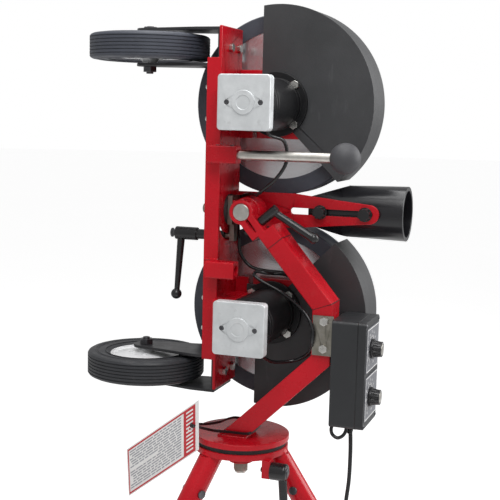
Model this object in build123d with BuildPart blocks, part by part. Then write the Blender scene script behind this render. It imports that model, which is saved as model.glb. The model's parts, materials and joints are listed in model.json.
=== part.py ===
"""Baseball pitching machine: two powered wheels on a rolling, tilting and swivelling tripod mount.

Millimetres. +Z up, the ball leaves toward -X, the motors face -Y. The pieces are drawn about the
swivel axis, then moved together so that the origin is on the floor, midway between the feet.
"""

from build123d import *
from math import cos, radians, sin, sqrt
import os

os.makedirs("parts", exist_ok=True)

# ---- shared levels and clearances -------------------------------------------------------
RUN = 0.05  # radial running clearance of every plain bearing
TABLE_Z = 850.0  # top of the turntable above the floor
BALL_Z = TABLE_Z + 378.0  # height of the ball's path
BALL_PLANE = Plane.XY.offset(BALL_Z)

# ---- tripod -----------------------------------------------------------------------------
HEAD_R, HEAD_T = 80.0, 10.0
HEAD_TOP = TABLE_Z - 17.5
PAD_R, PAD_T = 76.0, 8.0
LEG_ANGLES = (0.0, 145.0, 240.0)
LEG_SPLAY = 33.6  # from vertical
LEG_ROOT_R, LEG_ROOT_Z = 61.5, TABLE_Z - 25.3
LEG_R, LEG_WALL = 19.05, 2.4
SPIGOT_R, SPIGOT_START, SPIGOT_END = LEG_R - LEG_WALL - 0.2, 4.0, 112.0
FOOT_R, FOOT_H, FOOT_WALL = 25.0, 46.0, 5.0
LEG_BOLT_R, LEG_BOLT_AT = 4.0, 71.0
LEG_BOLT_HEAD_R, LEG_BOLT_HEAD_T = 7.0, 3.4
BOSS_R, BOSS_LEN = 21.0, 24.0  # bearing boss under the head plate
BUSH_R, BUSH_WALL = 14.0, 3.9

# ---- swivel lock ------------------------------------------------------------------------
SWIVEL_X, SWIVEL_Y, SWIVEL_Z = 66.0, -46.0, TABLE_Z - 46.0
SWIVEL_HUB_R, SWIVEL_HUB_L = 14.5, 28.0
SWIVEL_ARM_L, SWIVEL_ARM_LEAN = 88.0, 0.07
SWIVEL_STUD_R = 4.0

# ---- turntable --------------------------------------------------------------------------
TABLE_R, TABLE_T = 81.4, 9.5
SPINDLE_R = 10.0
SPINDLE_BOTTOM = TABLE_Z - 72.0
NUT_AF_SPINDLE, NUT_T_SPINDLE, WASHER_R = 22.0, 14.0, 13.0

# ---- yoke: 32 x 51 rectangular tube in three mitred lengths ---------------------------------
TILT_X = 2.5
YOKE_NEAR, YOKE_DEPTH = -38.0, 51.0
YOKE_WALL = 3.0
ARM_DX, ARM_DZ = 0.645, -0.764  # direction of the upper arm
ARM_W, ARM_OFFSET = 32.2, 15.1
YOKE_INNER_X, YOKE_OUTER_X = 128.5, 160.5
KNEE_INNER_Z, KNEE_OUTER_Z = TABLE_Z + 151.7, TABLE_Z + 138.3
ELBOW_INNER_Z, ELBOW_OUTER_Z = TABLE_Z + 227.3, TABLE_Z + 239.1
FOOT_INNER_X, FOOT_OUTER_X = -27.1, 18.8
CLAMP_R, CLAMP_LEN = 20.5, 26.0
EAR_HALF, EAR_END, CLAMP_SLIT = 13.5, 41.0, 1.8
BLOCK_START, BLOCK_END = 40.0, 75.0  # solid end of the upper arm
CLAMP_BOLT_AT = 31.0

# ---- tilt and roll joint ------------------------------------------------------------------
SHAFT_R = 14.3
SHAFT_NEAR = -38.0
BLOCK_X0, PIVOT_PLATE_T = -30.0, 8.0
BARREL_R = 23.0
BLOCK_Y0, BLOCK_Y1 = -12.0, 28.0
BLOCK_HALF_Z = 24.0
ROLL_Y = 8.0
ROLL_BOLT_R = 8.0
ROLL_BOLT_TIP = -80.0
DISC_R = 25.5
LOCK_R = 45.0  # radius of the lock slot about the roll bolt
LOCK_STUD_R = 5.0
ROLL_MAX = 50.0

# ---- column -----------------------------------------------------------------------------
WEB_X0, WEB_X1 = -40.0, -35.0
WEB_Y0, WEB_Y1 = -41.0, 57.0
FLANGE_X, FLANGE_T = -60.3, 5.0
COLUMN_HALF, FLANGE_HALF = 300.0, 249.0

# ---- pitching wheels and motors -------------------------------------------------------------
WHEEL_X, WHEEL_OFFSET = 32.0, 176.5
WHEEL_Y0, WHEEL_Y1 = 69.5, 124.5
BALL_Y = (WHEEL_Y0 + WHEEL_Y1) / 2
TYRE_R, TYRE_DISH, TYRE_SHOULDER = 152.4, 6.5, 8.0
HUB_R = 125.0
MOTOR_R, MOTOR_WALL = 43.5, 4.0
MOTOR_Y0, MOTOR_Y1 = -103.0, 48.0
FLANGE_R, FLANGE_THICK = 54.0, 8.0
MOTOR_BOLT_OFF = 33.0
COVER_SIDE, COVER_DEPTH, COVER_SCREW = 86.0, 18.0, 27.5
SINK_R, SINK_DEPTH = 4.0, 2.2
ROTOR_SHAFT_R, ROTOR_R = 8.0, 33.0
BEARING_R, BEARING_W = 16.0, 10.0
SADDLE_Y, SADDLE_DZ = -12.0, (-26.0, 26.0)
GUARD_Y, GUARD_SHEET = 48.0, 2.0
GUARD_R, GUARD_FAR = 165.6, 130.0
PLATE_Y, PLATE_T = 50.0, 6.0

# ---- feed tube ----------------------------------------------------------------------------
TUBE_FRONT, TUBE_MOUTH = 90.0, 251.0
TUBE_BORE = 39.0
TUBE_R_FRONT, TUBE_R_MOUTH = 42.3, 46.0
TUBE_TIP_HALF = 24.0
BRACKET_Y, BRACKET_T = 43.0, 5.0
SLOT_HALF, SLOT_X0, SLOT_X1 = 5.5, 62.4, 203.0
KNOB_X = (114.0, 190.5)
FEED_STUD_R = 4.0

# ---- transport wheels -----------------------------------------------------------------------
AXLE_X, AXLE_Y, AXLE_OFFSET = -183.4, 6.4, 271.1
ROLLER_MID_Z = BALL_Z - 4.1  # midway between the two transport wheels
ROLLER_R, ROLLER_W, ROLLER_HUB_R = 101.6, 42.5, 62.0
FORK_T, FORK_GAP = 5.0, 53.0
FORK_Y0, FORK_Y1 = -34.0, 50.0
AXLE_R, AXLE_NUT_AF = 6.0, 21.0
FORK_BOLT_Y = (-2.0, 36.0)

# ---- control box ------------------------------------------------------------------------------
CASE_X0, CASE_X1 = 165.0, 221.0
CASE_Y0, CASE_Y1 = -50.0, 46.0
CASE_Z0, CASE_Z1 = TABLE_Z + 41.0, TABLE_Z + 215.0
CASE_WALL = 3.0
BRACKET_BOLT_X, BRACKET_BOLT_Z = 150.5, (TABLE_Z + 167.0, TABLE_Z + 211.5)
DIAL_Y = -12.0
DIAL_Z = (TABLE_Z + 89.0, TABLE_Z + 168.0)
DIAL_PLATE_Y, DIAL_PLATE_W, DIAL_PLATE_H, DIAL_PLATE_T = -2.0, 82.0, 72.0, 1.2
DIAL_SHAFT_R = 3.0

# ---- hang tag -----------------------------------------------------------------------------------
TAG_Y, TAG_T = -80.0, 1.0
TAG_CORNERS = ((-49.0, 58.0), (-178.0, -44.0), (-173.0, -118.0), (-47.0, -14.0))

# ---- handle -----------------------------------------------------------------------------------
HANDLE_OFFSET, HANDLE_Y = 94.0, -53.5
HANDLE_R, GRIP_R = 8.0, 24.5
SOCKET_X0, SOCKET_X1 = -48.0, 2.0
SOCKET_HALF_Y, SOCKET_HALF_Z = 12.5, 14.0
SET_SCREW_R, SET_SCREW_X = 3.0, (-34.0, -10.0)

LOW = (Align.CENTER, Align.CENTER, Align.MIN)
X_AXIS, Y_AXIS, NEG_X, NEG_Y = (1, 0, 0), (0, 1, 0), (-1, 0, 0), (0, -1, 0)


def facing_front(y):
    """Sketch plane at depth y: right is +X, up is +Z, and a negative extrusion runs to +Y."""
    return Plane(origin=(0, y, 0), x_dir=(1, 0, 0), z_dir=(0, -1, 0))


def rod(origin, direction, radius, length, mode=Mode.ADD):
    """Round bar from origin along direction."""
    with Locations(Plane(origin=origin, z_dir=direction)):
        Cylinder(radius, length, align=LOW, mode=mode)


def hexagon(origin, direction, flats, length, mode=Mode.ADD):
    """Hexagonal bar, used for nuts and bolt heads."""
    with BuildSketch(Plane(origin=origin, z_dir=direction)) as outline:
        RegularPolygon(flats / sqrt(3), 6)
    extrude(outline.sketch, amount=length, mode=mode)


def cone(origin, direction, r0, r1, length):
    """Tapered bar from radius r0 to r1."""
    with Locations(Plane(origin=origin, z_dir=direction)):
        Cone(r0, r1, length, align=LOW)


def box(x0, x1, y0, y1, z0, z1, mode=Mode.ADD):
    """Block between two corners."""
    with Locations(((x0 + x1) / 2, (y0 + y1) / 2, (z0 + z1) / 2)):
        Box(x1 - x0, y1 - y0, z1 - z0, mode=mode)


pieces = {}


def save(builder, name):
    """Keeps a finished piece under its name."""
    pieces[name] = builder.part


def arm_point(along, across):
    """Point in the plane of the yoke, measured from the tilt axis along and across the arm."""
    x = TILT_X + along * ARM_DX - across * ARM_DZ
    return x, BALL_Z + along * ARM_DZ + across * ARM_DX


def leg_frame(angle, along):
    """Origin and direction of a leg at a distance along it from its root."""
    a, s = radians(angle), radians(LEG_SPLAY)
    direction = (sin(s) * cos(a), sin(s) * sin(a), -cos(s))
    root = (LEG_ROOT_R * cos(a), LEG_ROOT_R * sin(a), LEG_ROOT_Z)
    return tuple(r + along * d for r, d in zip(root, direction)), direction


def bolt_frame(angle):
    """Origin and direction of the cross bolt through a leg."""
    middle, _ = leg_frame(angle, LEG_BOLT_AT)
    side = (-sin(radians(angle)), cos(radians(angle)), 0)
    return tuple(m - BOLT_REACH * s for m, s in zip(middle, side)), side


BOLT_REACH = LEG_R + 0.1
LEG_LENGTH = LEG_ROOT_Z / cos(radians(LEG_SPLAY))
LEG_TIP = LEG_LENGTH - 14.0 - FOOT_WALL / cos(radians(LEG_SPLAY))

# ================================ tripod ===================================================
with BuildPart() as tripod_head:
    underside = HEAD_TOP - HEAD_T
    rod((0, 0, underside), (0, 0, 1), HEAD_R, HEAD_T)
    # lobes that cover the top ends of the legs
    for angle in LEG_ANGLES:
        start, way = leg_frame(angle, -SPIGOT_START)
        rod(start, way, LEG_R, 4 * SPIGOT_START)
    box(-200, 200, -200, 200, HEAD_TOP, HEAD_TOP + 60, mode=Mode.SUBTRACT)
    box(-200, 200, -200, 200, underside - 60, underside, mode=Mode.SUBTRACT)
    # spigots inside the legs, each cross-drilled for its bolt
    for angle in LEG_ANGLES:
        start, way = leg_frame(angle, SPIGOT_START)
        rod(start, way, SPIGOT_R, SPIGOT_END - SPIGOT_START)
        start, side = bolt_frame(angle)
        rod(start, side, LEG_BOLT_R + 0.1, 2 * BOLT_REACH, mode=Mode.SUBTRACT)
    rod((0, 0, underside), (0, 0, -1), BOSS_R, BOSS_LEN)
    rod((0, 0, HEAD_TOP + 1), (0, 0, -1), BUSH_R, 60, mode=Mode.SUBTRACT)
    box(SWIVEL_X - 10, SWIVEL_X + 4, SWIVEL_Y - 10, SWIVEL_Y + 10, SWIVEL_Z - 12, underside)
    rod((SWIVEL_X - 30, SWIVEL_Y, SWIVEL_Z), X_AXIS, SWIVEL_STUD_R + RUN, 60, mode=Mode.SUBTRACT)
save(tripod_head, "tripod_head")

with BuildPart() as swivel_bush:
    rod((0, 0, underside - BOSS_LEN), (0, 0, 1), BUSH_R, HEAD_T + BOSS_LEN)
    rod((0, 0, HEAD_TOP - 60), (0, 0, 1), SPINDLE_R + RUN, 80, mode=Mode.SUBTRACT)
save(swivel_bush, "swivel_bush")

with BuildPart() as swivel_pad:
    rod((0, 0, HEAD_TOP), (0, 0, 1), PAD_R, PAD_T)
    rod((0, 0, HEAD_TOP), (0, 0, 1), SPINDLE_R + 2, PAD_T, mode=Mode.SUBTRACT)
save(swivel_pad, "swivel_pad")

with BuildPart() as leg_tubes:
    for angle in LEG_ANGLES:
        start, way = leg_frame(angle, -20.0)
        rod(start, way, LEG_R, LEG_TIP + 20.0)
    for angle in LEG_ANGLES:
        start, way = leg_frame(angle, -40.0)
        rod(start, way, LEG_R - LEG_WALL, LEG_TIP + 40.0, mode=Mode.SUBTRACT)
        start, side = bolt_frame(angle)
        rod(start, side, LEG_BOLT_R + 0.1, 2 * BOLT_REACH, mode=Mode.SUBTRACT)
    box(-200, 200, -200, 200, underside, underside + 80, mode=Mode.SUBTRACT)
save(leg_tubes, "leg_tubes")

with BuildPart() as leg_feet:
    for angle in LEG_ANGLES:
        start, way = leg_frame(angle, LEG_TIP - FOOT_H + FOOT_WALL)
        rod(start, way, FOOT_R, FOOT_H + 40)
        start, way = leg_frame(angle, LEG_TIP - FOOT_H)
        rod(start, way, LEG_R, FOOT_H, mode=Mode.SUBTRACT)
    box(-900, 900, -900, 900, -120, 0, mode=Mode.SUBTRACT)
save(leg_feet, "leg_feet")

with BuildPart() as leg_bolts:
    for angle in LEG_ANGLES:
        start, side = bolt_frame(angle)
        end = tuple(p + 2 * BOLT_REACH * s for p, s in zip(start, side))
        rod(start, side, LEG_BOLT_R, 2 * BOLT_REACH)
        rod(start, tuple(-s for s in side), LEG_BOLT_HEAD_R, LEG_BOLT_HEAD_T)
        rod(end, side, LEG_BOLT_HEAD_R, LEG_BOLT_HEAD_T)
save(leg_bolts, "leg_bolts")

with BuildPart() as swivel_lever:
    hub_x = SWIVEL_X + 4
    rod((hub_x, SWIVEL_Y, SWIVEL_Z), X_AXIS, SWIVEL_HUB_R, SWIVEL_HUB_L)
    fillet(swivel_lever.edges().filter_by(GeomType.CIRCLE).sort_by(Axis.X)[-1], 5)
    rod((SWIVEL_X - 14, SWIVEL_Y, SWIVEL_Z), X_AXIS, SWIVEL_STUD_R, 30)
    arm_x = hub_x + SWIVEL_HUB_L * 0.68
    cone((arm_x, SWIVEL_Y, SWIVEL_Z), (SWIVEL_ARM_LEAN, 0, -1), 7.4, 6.6, SWIVEL_ARM_L)
    tip_x = arm_x + SWIVEL_ARM_LEAN * SWIVEL_ARM_L
    with Locations((tip_x, SWIVEL_Y, SWIVEL_Z - SWIVEL_ARM_L)):
        Sphere(8.5)
save(swivel_lever, "swivel_lever")

# ================================ turntable and yoke ========================================
with BuildPart() as table_plate:
    rod((0, 0, TABLE_Z - TABLE_T), (0, 0, 1), TABLE_R, TABLE_T)
    chamfer(table_plate.edges().filter_by(GeomType.CIRCLE), 0.8)
    rod((0, 0, TABLE_Z - TABLE_T), (0, 0, 1), SPINDLE_R, TABLE_T - 2, mode=Mode.SUBTRACT)
save(table_plate, "table_plate")

with BuildPart() as spindle:
    rod((0, 0, SPINDLE_BOTTOM), (0, 0, 1), SPINDLE_R, TABLE_Z - 2 - SPINDLE_BOTTOM)
    chamfer(spindle.edges().filter_by(GeomType.CIRCLE).sort_by(Axis.Z)[0], 1.5)
save(spindle, "spindle")

with BuildPart() as spindle_nut:
    hexagon((0, 0, SPINDLE_BOTTOM + 4), (0, 0, 1), NUT_AF_SPINDLE, NUT_T_SPINDLE)
    nut_top = SPINDLE_BOTTOM + 4 + NUT_T_SPINDLE
    rod((0, 0, nut_top), (0, 0, 1), WASHER_R, underside - BOSS_LEN - 0.5 - nut_top)
    rod((0, 0, SPINDLE_BOTTOM), (0, 0, 1), SPINDLE_R, 80, mode=Mode.SUBTRACT)
save(spindle_nut, "spindle_nut")

with BuildPart() as yoke_frame:
    # outline of the bent arm, foot to end block
    top_inner, top_outer = arm_point(BLOCK_END, ARM_OFFSET - ARM_W / 2), arm_point(
        BLOCK_END, ARM_OFFSET + ARM_W / 2
    )
    with BuildSketch(facing_front(YOKE_NEAR)):
        Polygon(
            (FOOT_INNER_X, TABLE_Z),
            (YOKE_INNER_X, KNEE_INNER_Z),
            (YOKE_INNER_X, ELBOW_INNER_Z),
            top_inner,
            top_outer,
            (YOKE_OUTER_X, ELBOW_OUTER_Z),
            (YOKE_OUTER_X, KNEE_OUTER_Z),
            (FOOT_OUTER_X, TABLE_Z),
            align=None,
        )
    extrude(amount=-YOKE_DEPTH)
    # hollow of the tube
    with BuildSketch(facing_front(YOKE_NEAR + YOKE_WALL)):
        Polygon(
            (FOOT_INNER_X + 4.2, TABLE_Z),
            (YOKE_INNER_X + YOKE_WALL, KNEE_INNER_Z - 1.3),
            (YOKE_INNER_X + YOKE_WALL, ELBOW_INNER_Z + 1.1),
            arm_point(BLOCK_END, ARM_OFFSET - ARM_W / 2 + YOKE_WALL),
            arm_point(BLOCK_END, ARM_OFFSET + ARM_W / 2 - YOKE_WALL),
            (YOKE_OUTER_X - YOKE_WALL, ELBOW_OUTER_Z - 1.1),
            (YOKE_OUTER_X - YOKE_WALL, KNEE_OUTER_Z + 1.3),
            (FOOT_OUTER_X - 4.2, TABLE_Z),
            align=None,
        )
    extrude(amount=-(YOKE_DEPTH - 2 * YOKE_WALL), mode=Mode.SUBTRACT)
    # solid end block, ears and split ring that grip the tilt shaft
    block_x, block_z = arm_point((BLOCK_START + BLOCK_END) / 2, ARM_OFFSET)
    with BuildSketch(facing_front(YOKE_NEAR)):
        corners = [
            arm_point(s, ARM_OFFSET + side * ARM_W / 2)
            for s, side in ((48, -1), (BLOCK_END, -1), (BLOCK_END, 1), (48, 1))
        ]
        Polygon(*corners, align=None)
    extrude(amount=-YOKE_DEPTH)
    with BuildSketch(facing_front(YOKE_NEAR)):
        with Locations((TILT_X, BALL_Z)):
            Circle(CLAMP_R)
        ears = [
            arm_point(s, side * EAR_HALF) for s, side in ((8, -1), (49, -1), (49, 1), (8, 1))
        ]
        Polygon(*ears, align=None)
    extrude(amount=-CLAMP_LEN)
    with BuildSketch(facing_front(YOKE_NEAR)):
        with Locations((TILT_X, BALL_Z)):
            Circle(SHAFT_R + RUN)
        slit = [
            arm_point(s, side * CLAMP_SLIT / 2)
            for s, side in ((0, -1), (EAR_END, -1), (EAR_END, 1), (0, 1))
        ]
        Polygon(*slit, align=None)
    extrude(amount=-CLAMP_LEN, mode=Mode.SUBTRACT)
    bolt_x, bolt_z = arm_point(CLAMP_BOLT_AT, -EAR_HALF - 5)
    CLAMP_WAY = (-ARM_DZ, 0, ARM_DX)
    rod((bolt_x, YOKE_NEAR + CLAMP_LEN / 2, bolt_z), CLAMP_WAY, 4 + RUN, 60, mode=Mode.SUBTRACT)
    # bolt holes for the control box bracket
    for z in BRACKET_BOLT_Z:
        rod((BRACKET_BOLT_X, YOKE_NEAR - 1, z), Y_AXIS, 4.1, 6, mode=Mode.SUBTRACT)
save(yoke_frame, "yoke_frame")

with BuildPart() as tilt_lever:
    clamp_y = YOKE_NEAR + CLAMP_LEN / 2
    lx, lz = arm_point(CLAMP_BOLT_AT, -EAR_HALF - 6)
    rod((lx, clamp_y, lz), CLAMP_WAY, 4, 2 * EAR_HALF + 14)
    hx, hz = arm_point(CLAMP_BOLT_AT, EAR_HALF)
    rod((hx, clamp_y, hz), CLAMP_WAY, 8.0, 36)
    ax, az = arm_point(CLAMP_BOLT_AT, EAR_HALF + 28)
    lean = radians(20)
    LEVER_WAY = (
        cos(lean) * ARM_DX - sin(lean) * ARM_DZ, 0, cos(lean) * ARM_DZ + sin(lean) * ARM_DX
    )
    cone((ax, clamp_y, az), LEVER_WAY, 5.5, 7.5, 82)
    with Locations(tuple(a + 80 * d for a, d in zip((ax, clamp_y, az), LEVER_WAY))):
        Sphere(8.4)
    lock_x, lock_z = arm_point(CLAMP_BOLT_AT, -EAR_HALF)
    hexagon((lock_x, clamp_y, lock_z), tuple(-c for c in CLAMP_WAY), 13, 5)
save(tilt_lever, "tilt_lever")

# ================================ control box ===============================================
with BuildPart() as control_bracket:
    box(131, CASE_X0, YOKE_NEAR - 4.5, YOKE_NEAR, TABLE_Z + 155, TABLE_Z + 220)
    box(YOKE_OUTER_X, CASE_X0, YOKE_NEAR - 4.5, 40, TABLE_Z + 155, TABLE_Z + 212)
    for z in BRACKET_BOLT_Z:
        rod((BRACKET_BOLT_X, YOKE_NEAR - 6, z), Y_AXIS, 4.1, 8, mode=Mode.SUBTRACT)
save(control_bracket, "control_bracket")

with BuildPart() as bracket_bolts:
    for z in BRACKET_BOLT_Z:
        rod((BRACKET_BOLT_X, YOKE_NEAR - 4.5, z), Y_AXIS, 4.0, 16)
        hexagon((BRACKET_BOLT_X, YOKE_NEAR - 4.5, z), NEG_Y, 13, 5.5)
save(bracket_bolts, "bracket_bolts")

with BuildPart() as control_case:
    box(CASE_X0, CASE_X1, CASE_Y0, CASE_Y1, CASE_Z0, CASE_Z1)
    fillet(control_case.edges().filter_by(Axis.X), 6)
    w = CASE_WALL
    box(CASE_X0 + w, CASE_X1 - w, CASE_Y0 + w, CASE_Y1 - w, CASE_Z0 + w, CASE_Z1 - w, Mode.SUBTRACT)
    for z in DIAL_Z:
        rod((CASE_X1 - 6, DIAL_Y, z), X_AXIS, DIAL_SHAFT_R + 0.6, 10, mode=Mode.SUBTRACT)
save(control_case, "control_case")

with BuildPart() as dial_plates:
    for z in DIAL_Z:
        box(
            CASE_X1, CASE_X1 + DIAL_PLATE_T,
            DIAL_PLATE_Y - DIAL_PLATE_W / 2, DIAL_PLATE_Y + DIAL_PLATE_W / 2,
            z - DIAL_PLATE_H / 2, z + DIAL_PLATE_H / 2,
        )
        rod((CASE_X1 - 6, DIAL_Y, z), X_AXIS, DIAL_SHAFT_R + 0.6, 10, mode=Mode.SUBTRACT)
save(dial_plates, "dial_plates")

with BuildPart() as speed_controls:
    for z in DIAL_Z:
        rod((CASE_X1 - CASE_WALL, DIAL_Y, z), NEG_X, 12, 14)
        rod((CASE_X1 - 30, DIAL_Y, z), X_AXIS, DIAL_SHAFT_R + RUN, 60, mode=Mode.SUBTRACT)
    box(CASE_X0 + 8, CASE_X0 + 10, CASE_Y0 + 12, CASE_Y1 - 12, CASE_Z0 + 14, CASE_Z1 - 14)
    for z in DIAL_Z:
        box(CASE_X0 + 10, CASE_X0 + 24, 4, 28, z - 18, z + 18)
save(speed_controls, "speed_controls")

for name, z in zip(("dial_knob_lower", "dial_knob_upper"), DIAL_Z):
    with BuildPart() as dial_knob:
        rod((CASE_X1 - 15, DIAL_Y, z), X_AXIS, DIAL_SHAFT_R, 26)
        rod((CASE_X1 + DIAL_PLATE_T + 0.8, DIAL_Y, z), X_AXIS, 16, 4)
        cone((CASE_X1 + DIAL_PLATE_T + 4.8, DIAL_Y, z), X_AXIS, 13.5, 12.0, 13)
        with Locations(Plane(origin=(CASE_X1 + DIAL_PLATE_T + 4.8, DIAL_Y, z), z_dir=X_AXIS)):
            with PolarLocations(14.2, 12):
                Cylinder(2.2, 20, align=LOW, mode=Mode.SUBTRACT)
    save(dial_knob, name)

with BuildPart() as mains_cord:
    with BuildLine() as cord_path:
        Spline(
            (194, -22, CASE_Z0), (197, -24, CASE_Z0 - 30), (196, -26, CASE_Z0 - 90),
            (193, -28, CASE_Z0 - 140), tangents=((0, 0, -1), (0, 0, -1)),
        )
    with BuildSketch(Plane(origin=(194, -22, CASE_Z0), z_dir=(0, 0, -1))):
        Circle(3.5)
    sweep()
    rod((194, -22, CASE_Z0), (0, 0, -1), 8, 12)
    box(178, 208, -38, -18, CASE_Z0 - 176, CASE_Z0 - 140)
save(mains_cord, "mains_cord")

with BuildPart() as hang_tag:
    with BuildSketch(Plane(origin=(0, TAG_Y, 0), x_dir=X_AXIS, z_dir=NEG_Y)):
        Polygon(*[(x, TABLE_Z + z) for x, z in TAG_CORNERS], align=None)
    extrude(amount=TAG_T)
save(hang_tag, "hang_tag")

# ================================ tilting carrier ===========================================
with BuildPart() as tilt_shaft:
    rod((TILT_X, SHAFT_NEAR, BALL_Z), Y_AXIS, SHAFT_R, BLOCK_Y0 - SHAFT_NEAR)
    rod((TILT_X, BLOCK_Y0, BALL_Z), Y_AXIS, 11.0, 10)
    chamfer(tilt_shaft.edges().filter_by(GeomType.CIRCLE).sort_by(Axis.Y)[0], 1.0)
save(tilt_shaft, "tilt_shaft")

plate_face = BLOCK_X0 + PIVOT_PLATE_T
with BuildPart() as pivot_barrel:
    rod((TILT_X, BLOCK_Y0, BALL_Z), Y_AXIS, BARREL_R, BLOCK_Y1 - BLOCK_Y0)
    box(plate_face, TILT_X, BLOCK_Y0, BLOCK_Y1, BALL_Z - 17, BALL_Z + 17)
    rod((TILT_X, BLOCK_Y0, BALL_Z), Y_AXIS, 11.0, 10, mode=Mode.SUBTRACT)
    rod((BLOCK_X0 - 1, ROLL_Y, BALL_Z), X_AXIS, ROLL_BOLT_R, 19, mode=Mode.SUBTRACT)
save(pivot_barrel, "pivot_barrel")

with BuildPart() as pivot_plate:
    box(BLOCK_X0, plate_face, BLOCK_Y0, BLOCK_Y1, BALL_Z - BLOCK_HALF_Z, BALL_Z + BLOCK_HALF_Z)
    box(BLOCK_X0, plate_face, ROLL_Y - 9, ROLL_Y + 9, BALL_Z - 53, BALL_Z - 20)
    rod((BLOCK_X0 - 1, ROLL_Y, BALL_Z), X_AXIS, ROLL_BOLT_R, 19, mode=Mode.SUBTRACT)
    rod((BLOCK_X0 - 1, ROLL_Y, BALL_Z - LOCK_R), X_AXIS, LOCK_STUD_R, 11, mode=Mode.SUBTRACT)
save(pivot_plate, "pivot_plate")

with BuildPart() as friction_disc:
    rod((WEB_X1, ROLL_Y, BALL_Z), X_AXIS, DISC_R, BLOCK_X0 - WEB_X1)
    rod((WEB_X1, ROLL_Y, BALL_Z), X_AXIS, ROLL_BOLT_R, 10, mode=Mode.SUBTRACT)
save(friction_disc, "friction_disc")

with BuildPart() as roll_bolt:
    rod((ROLL_BOLT_TIP, ROLL_Y, BALL_Z), X_AXIS, ROLL_BOLT_R, BLOCK_X0 + 18 - ROLL_BOLT_TIP)
    chamfer(roll_bolt.edges().filter_by(GeomType.CIRCLE).sort_by(Axis.X)[0], 1.2)
save(roll_bolt, "roll_bolt")

with BuildPart() as roll_nuts:
    rod((WEB_X0 - 0.1, ROLL_Y, BALL_Z), NEG_X, 15, 3)
    hexagon((WEB_X0 - 3.1, ROLL_Y, BALL_Z), NEG_X, 24, 13)
    hexagon((WEB_X0 - 16.1, ROLL_Y, BALL_Z), NEG_X, 24, 8)
    rod((WEB_X0 + 1, ROLL_Y, BALL_Z), NEG_X, ROLL_BOLT_R, 40, mode=Mode.SUBTRACT)
save(roll_nuts, "roll_nuts")

LOCK_Z = BALL_Z - LOCK_R
LEVER_HUB_X0, LEVER_HUB_X1 = -130.0, -91.0
with BuildPart() as lock_stud:
    rod((LEVER_HUB_X1 - 20, ROLL_Y, LOCK_Z), X_AXIS, LOCK_STUD_R, plate_face - LEVER_HUB_X1 + 20)
save(lock_stud, "lock_stud")

with BuildPart() as roll_lever:
    rod((LEVER_HUB_X0, ROLL_Y, LOCK_Z), X_AXIS, 11, LEVER_HUB_X1 - LEVER_HUB_X0)
    rod((LEVER_HUB_X1, ROLL_Y, LOCK_Z), X_AXIS, 8.5, WEB_X0 - 0.2 - LEVER_HUB_X1)
    cone((-121, ROLL_Y, LOCK_Z - 6), (-0.07, 0, -1), 6.6, 4.6, 94)
    with Locations((-128.5, ROLL_Y, LOCK_Z - 106)):
        Sphere(9.2)
    rod(
        (LEVER_HUB_X1 - 20, ROLL_Y, LOCK_Z), X_AXIS, LOCK_STUD_R + RUN, 90, mode=Mode.SUBTRACT
    )
save(roll_lever, "roll_lever")

# ================================ rolling head ================================================
with BuildPart() as column:
    box(WEB_X0, WEB_X1, WEB_Y0, WEB_Y1, BALL_Z - COLUMN_HALF, BALL_Z + COLUMN_HALF)
    low, high = BALL_Z - FLANGE_HALF, BALL_Z + FLANGE_HALF
    box(FLANGE_X, WEB_X0 + 1, WEB_Y0, WEB_Y0 + FLANGE_T, low, high)
    box(FLANGE_X, WEB_X0 + 1, WEB_Y1 - FLANGE_T, WEB_Y1, low, high)
    rod((WEB_X0 - 1, ROLL_Y, BALL_Z), X_AXIS, ROLL_BOLT_R + RUN, 8, mode=Mode.SUBTRACT)
    # arc slot swept by the lock stud over the roll range
    with BuildSketch(Plane(origin=(WEB_X0 - 1, ROLL_Y, BALL_Z), x_dir=Y_AXIS, z_dir=X_AXIS)):
        with BuildLine(mode=Mode.PRIVATE) as slot_path:
            CenterArc((0, 0), LOCK_R, -91 - ROLL_MAX, ROLL_MAX + 2)
        SlotArc(slot_path.edge(), 2 * LOCK_STUD_R + 0.8)
    extrude(amount=8, mode=Mode.SUBTRACT)
    for sign in (-1, 1):
        for y in FORK_BOLT_Y:
            rod(
                (WEB_X0 - 1, y, ROLLER_MID_Z + sign * AXLE_OFFSET), X_AXIS, 4.1, 8,
                mode=Mode.SUBTRACT,
            )
        for dz in SADDLE_DZ:
            rod(
                (WEB_X0 - 1, SADDLE_Y, BALL_Z + sign * WHEEL_OFFSET + dz), X_AXIS, 4.1, 8,
                mode=Mode.SUBTRACT,
            )
save(column, "column")

with BuildPart() as handle_sockets:
    for sign in (-1, 1):
        z = BALL_Z + sign * HANDLE_OFFSET
        box(
            SOCKET_X0, SOCKET_X1, HANDLE_Y - SOCKET_HALF_Y, HANDLE_Y + SOCKET_HALF_Y,
            z - SOCKET_HALF_Z, z + SOCKET_HALF_Z,
        )
    fillet(handle_sockets.edges().filter_by(Axis.X), 3)
    for sign in (-1, 1):
        z = BALL_Z + sign * HANDLE_OFFSET
        rod((SOCKET_X0 + 8, HANDLE_Y, z), X_AXIS, HANDLE_R + 0.1, 60, mode=Mode.SUBTRACT)
        for x in SET_SCREW_X:
            rod((x, HANDLE_Y, z), (0, 0, sign), SET_SCREW_R, 20, mode=Mode.SUBTRACT)
save(handle_sockets, "handle_sockets")

with BuildPart() as socket_screws:
    for sign in (-1, 1):
        for x in SET_SCREW_X:
            inner = BALL_Z + sign * (HANDLE_OFFSET + HANDLE_R + 0.3)
            up = (0, 0, sign)
            rod((x, HANDLE_Y, inner), up, SET_SCREW_R, SOCKET_HALF_Z - HANDLE_R + 1)
            top = BALL_Z + sign * (HANDLE_OFFSET + SOCKET_HALF_Z - 1.5)
            hexagon((x, HANDLE_Y, top), up, 3, 4, mode=Mode.SUBTRACT)
save(socket_screws, "socket_screws")

with BuildPart() as handle_rod:
    rod((SOCKET_X0 + 8, HANDLE_Y, BALL_Z + HANDLE_OFFSET), X_AXIS, HANDLE_R, 206)
save(handle_rod, "handle_rod")

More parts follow.
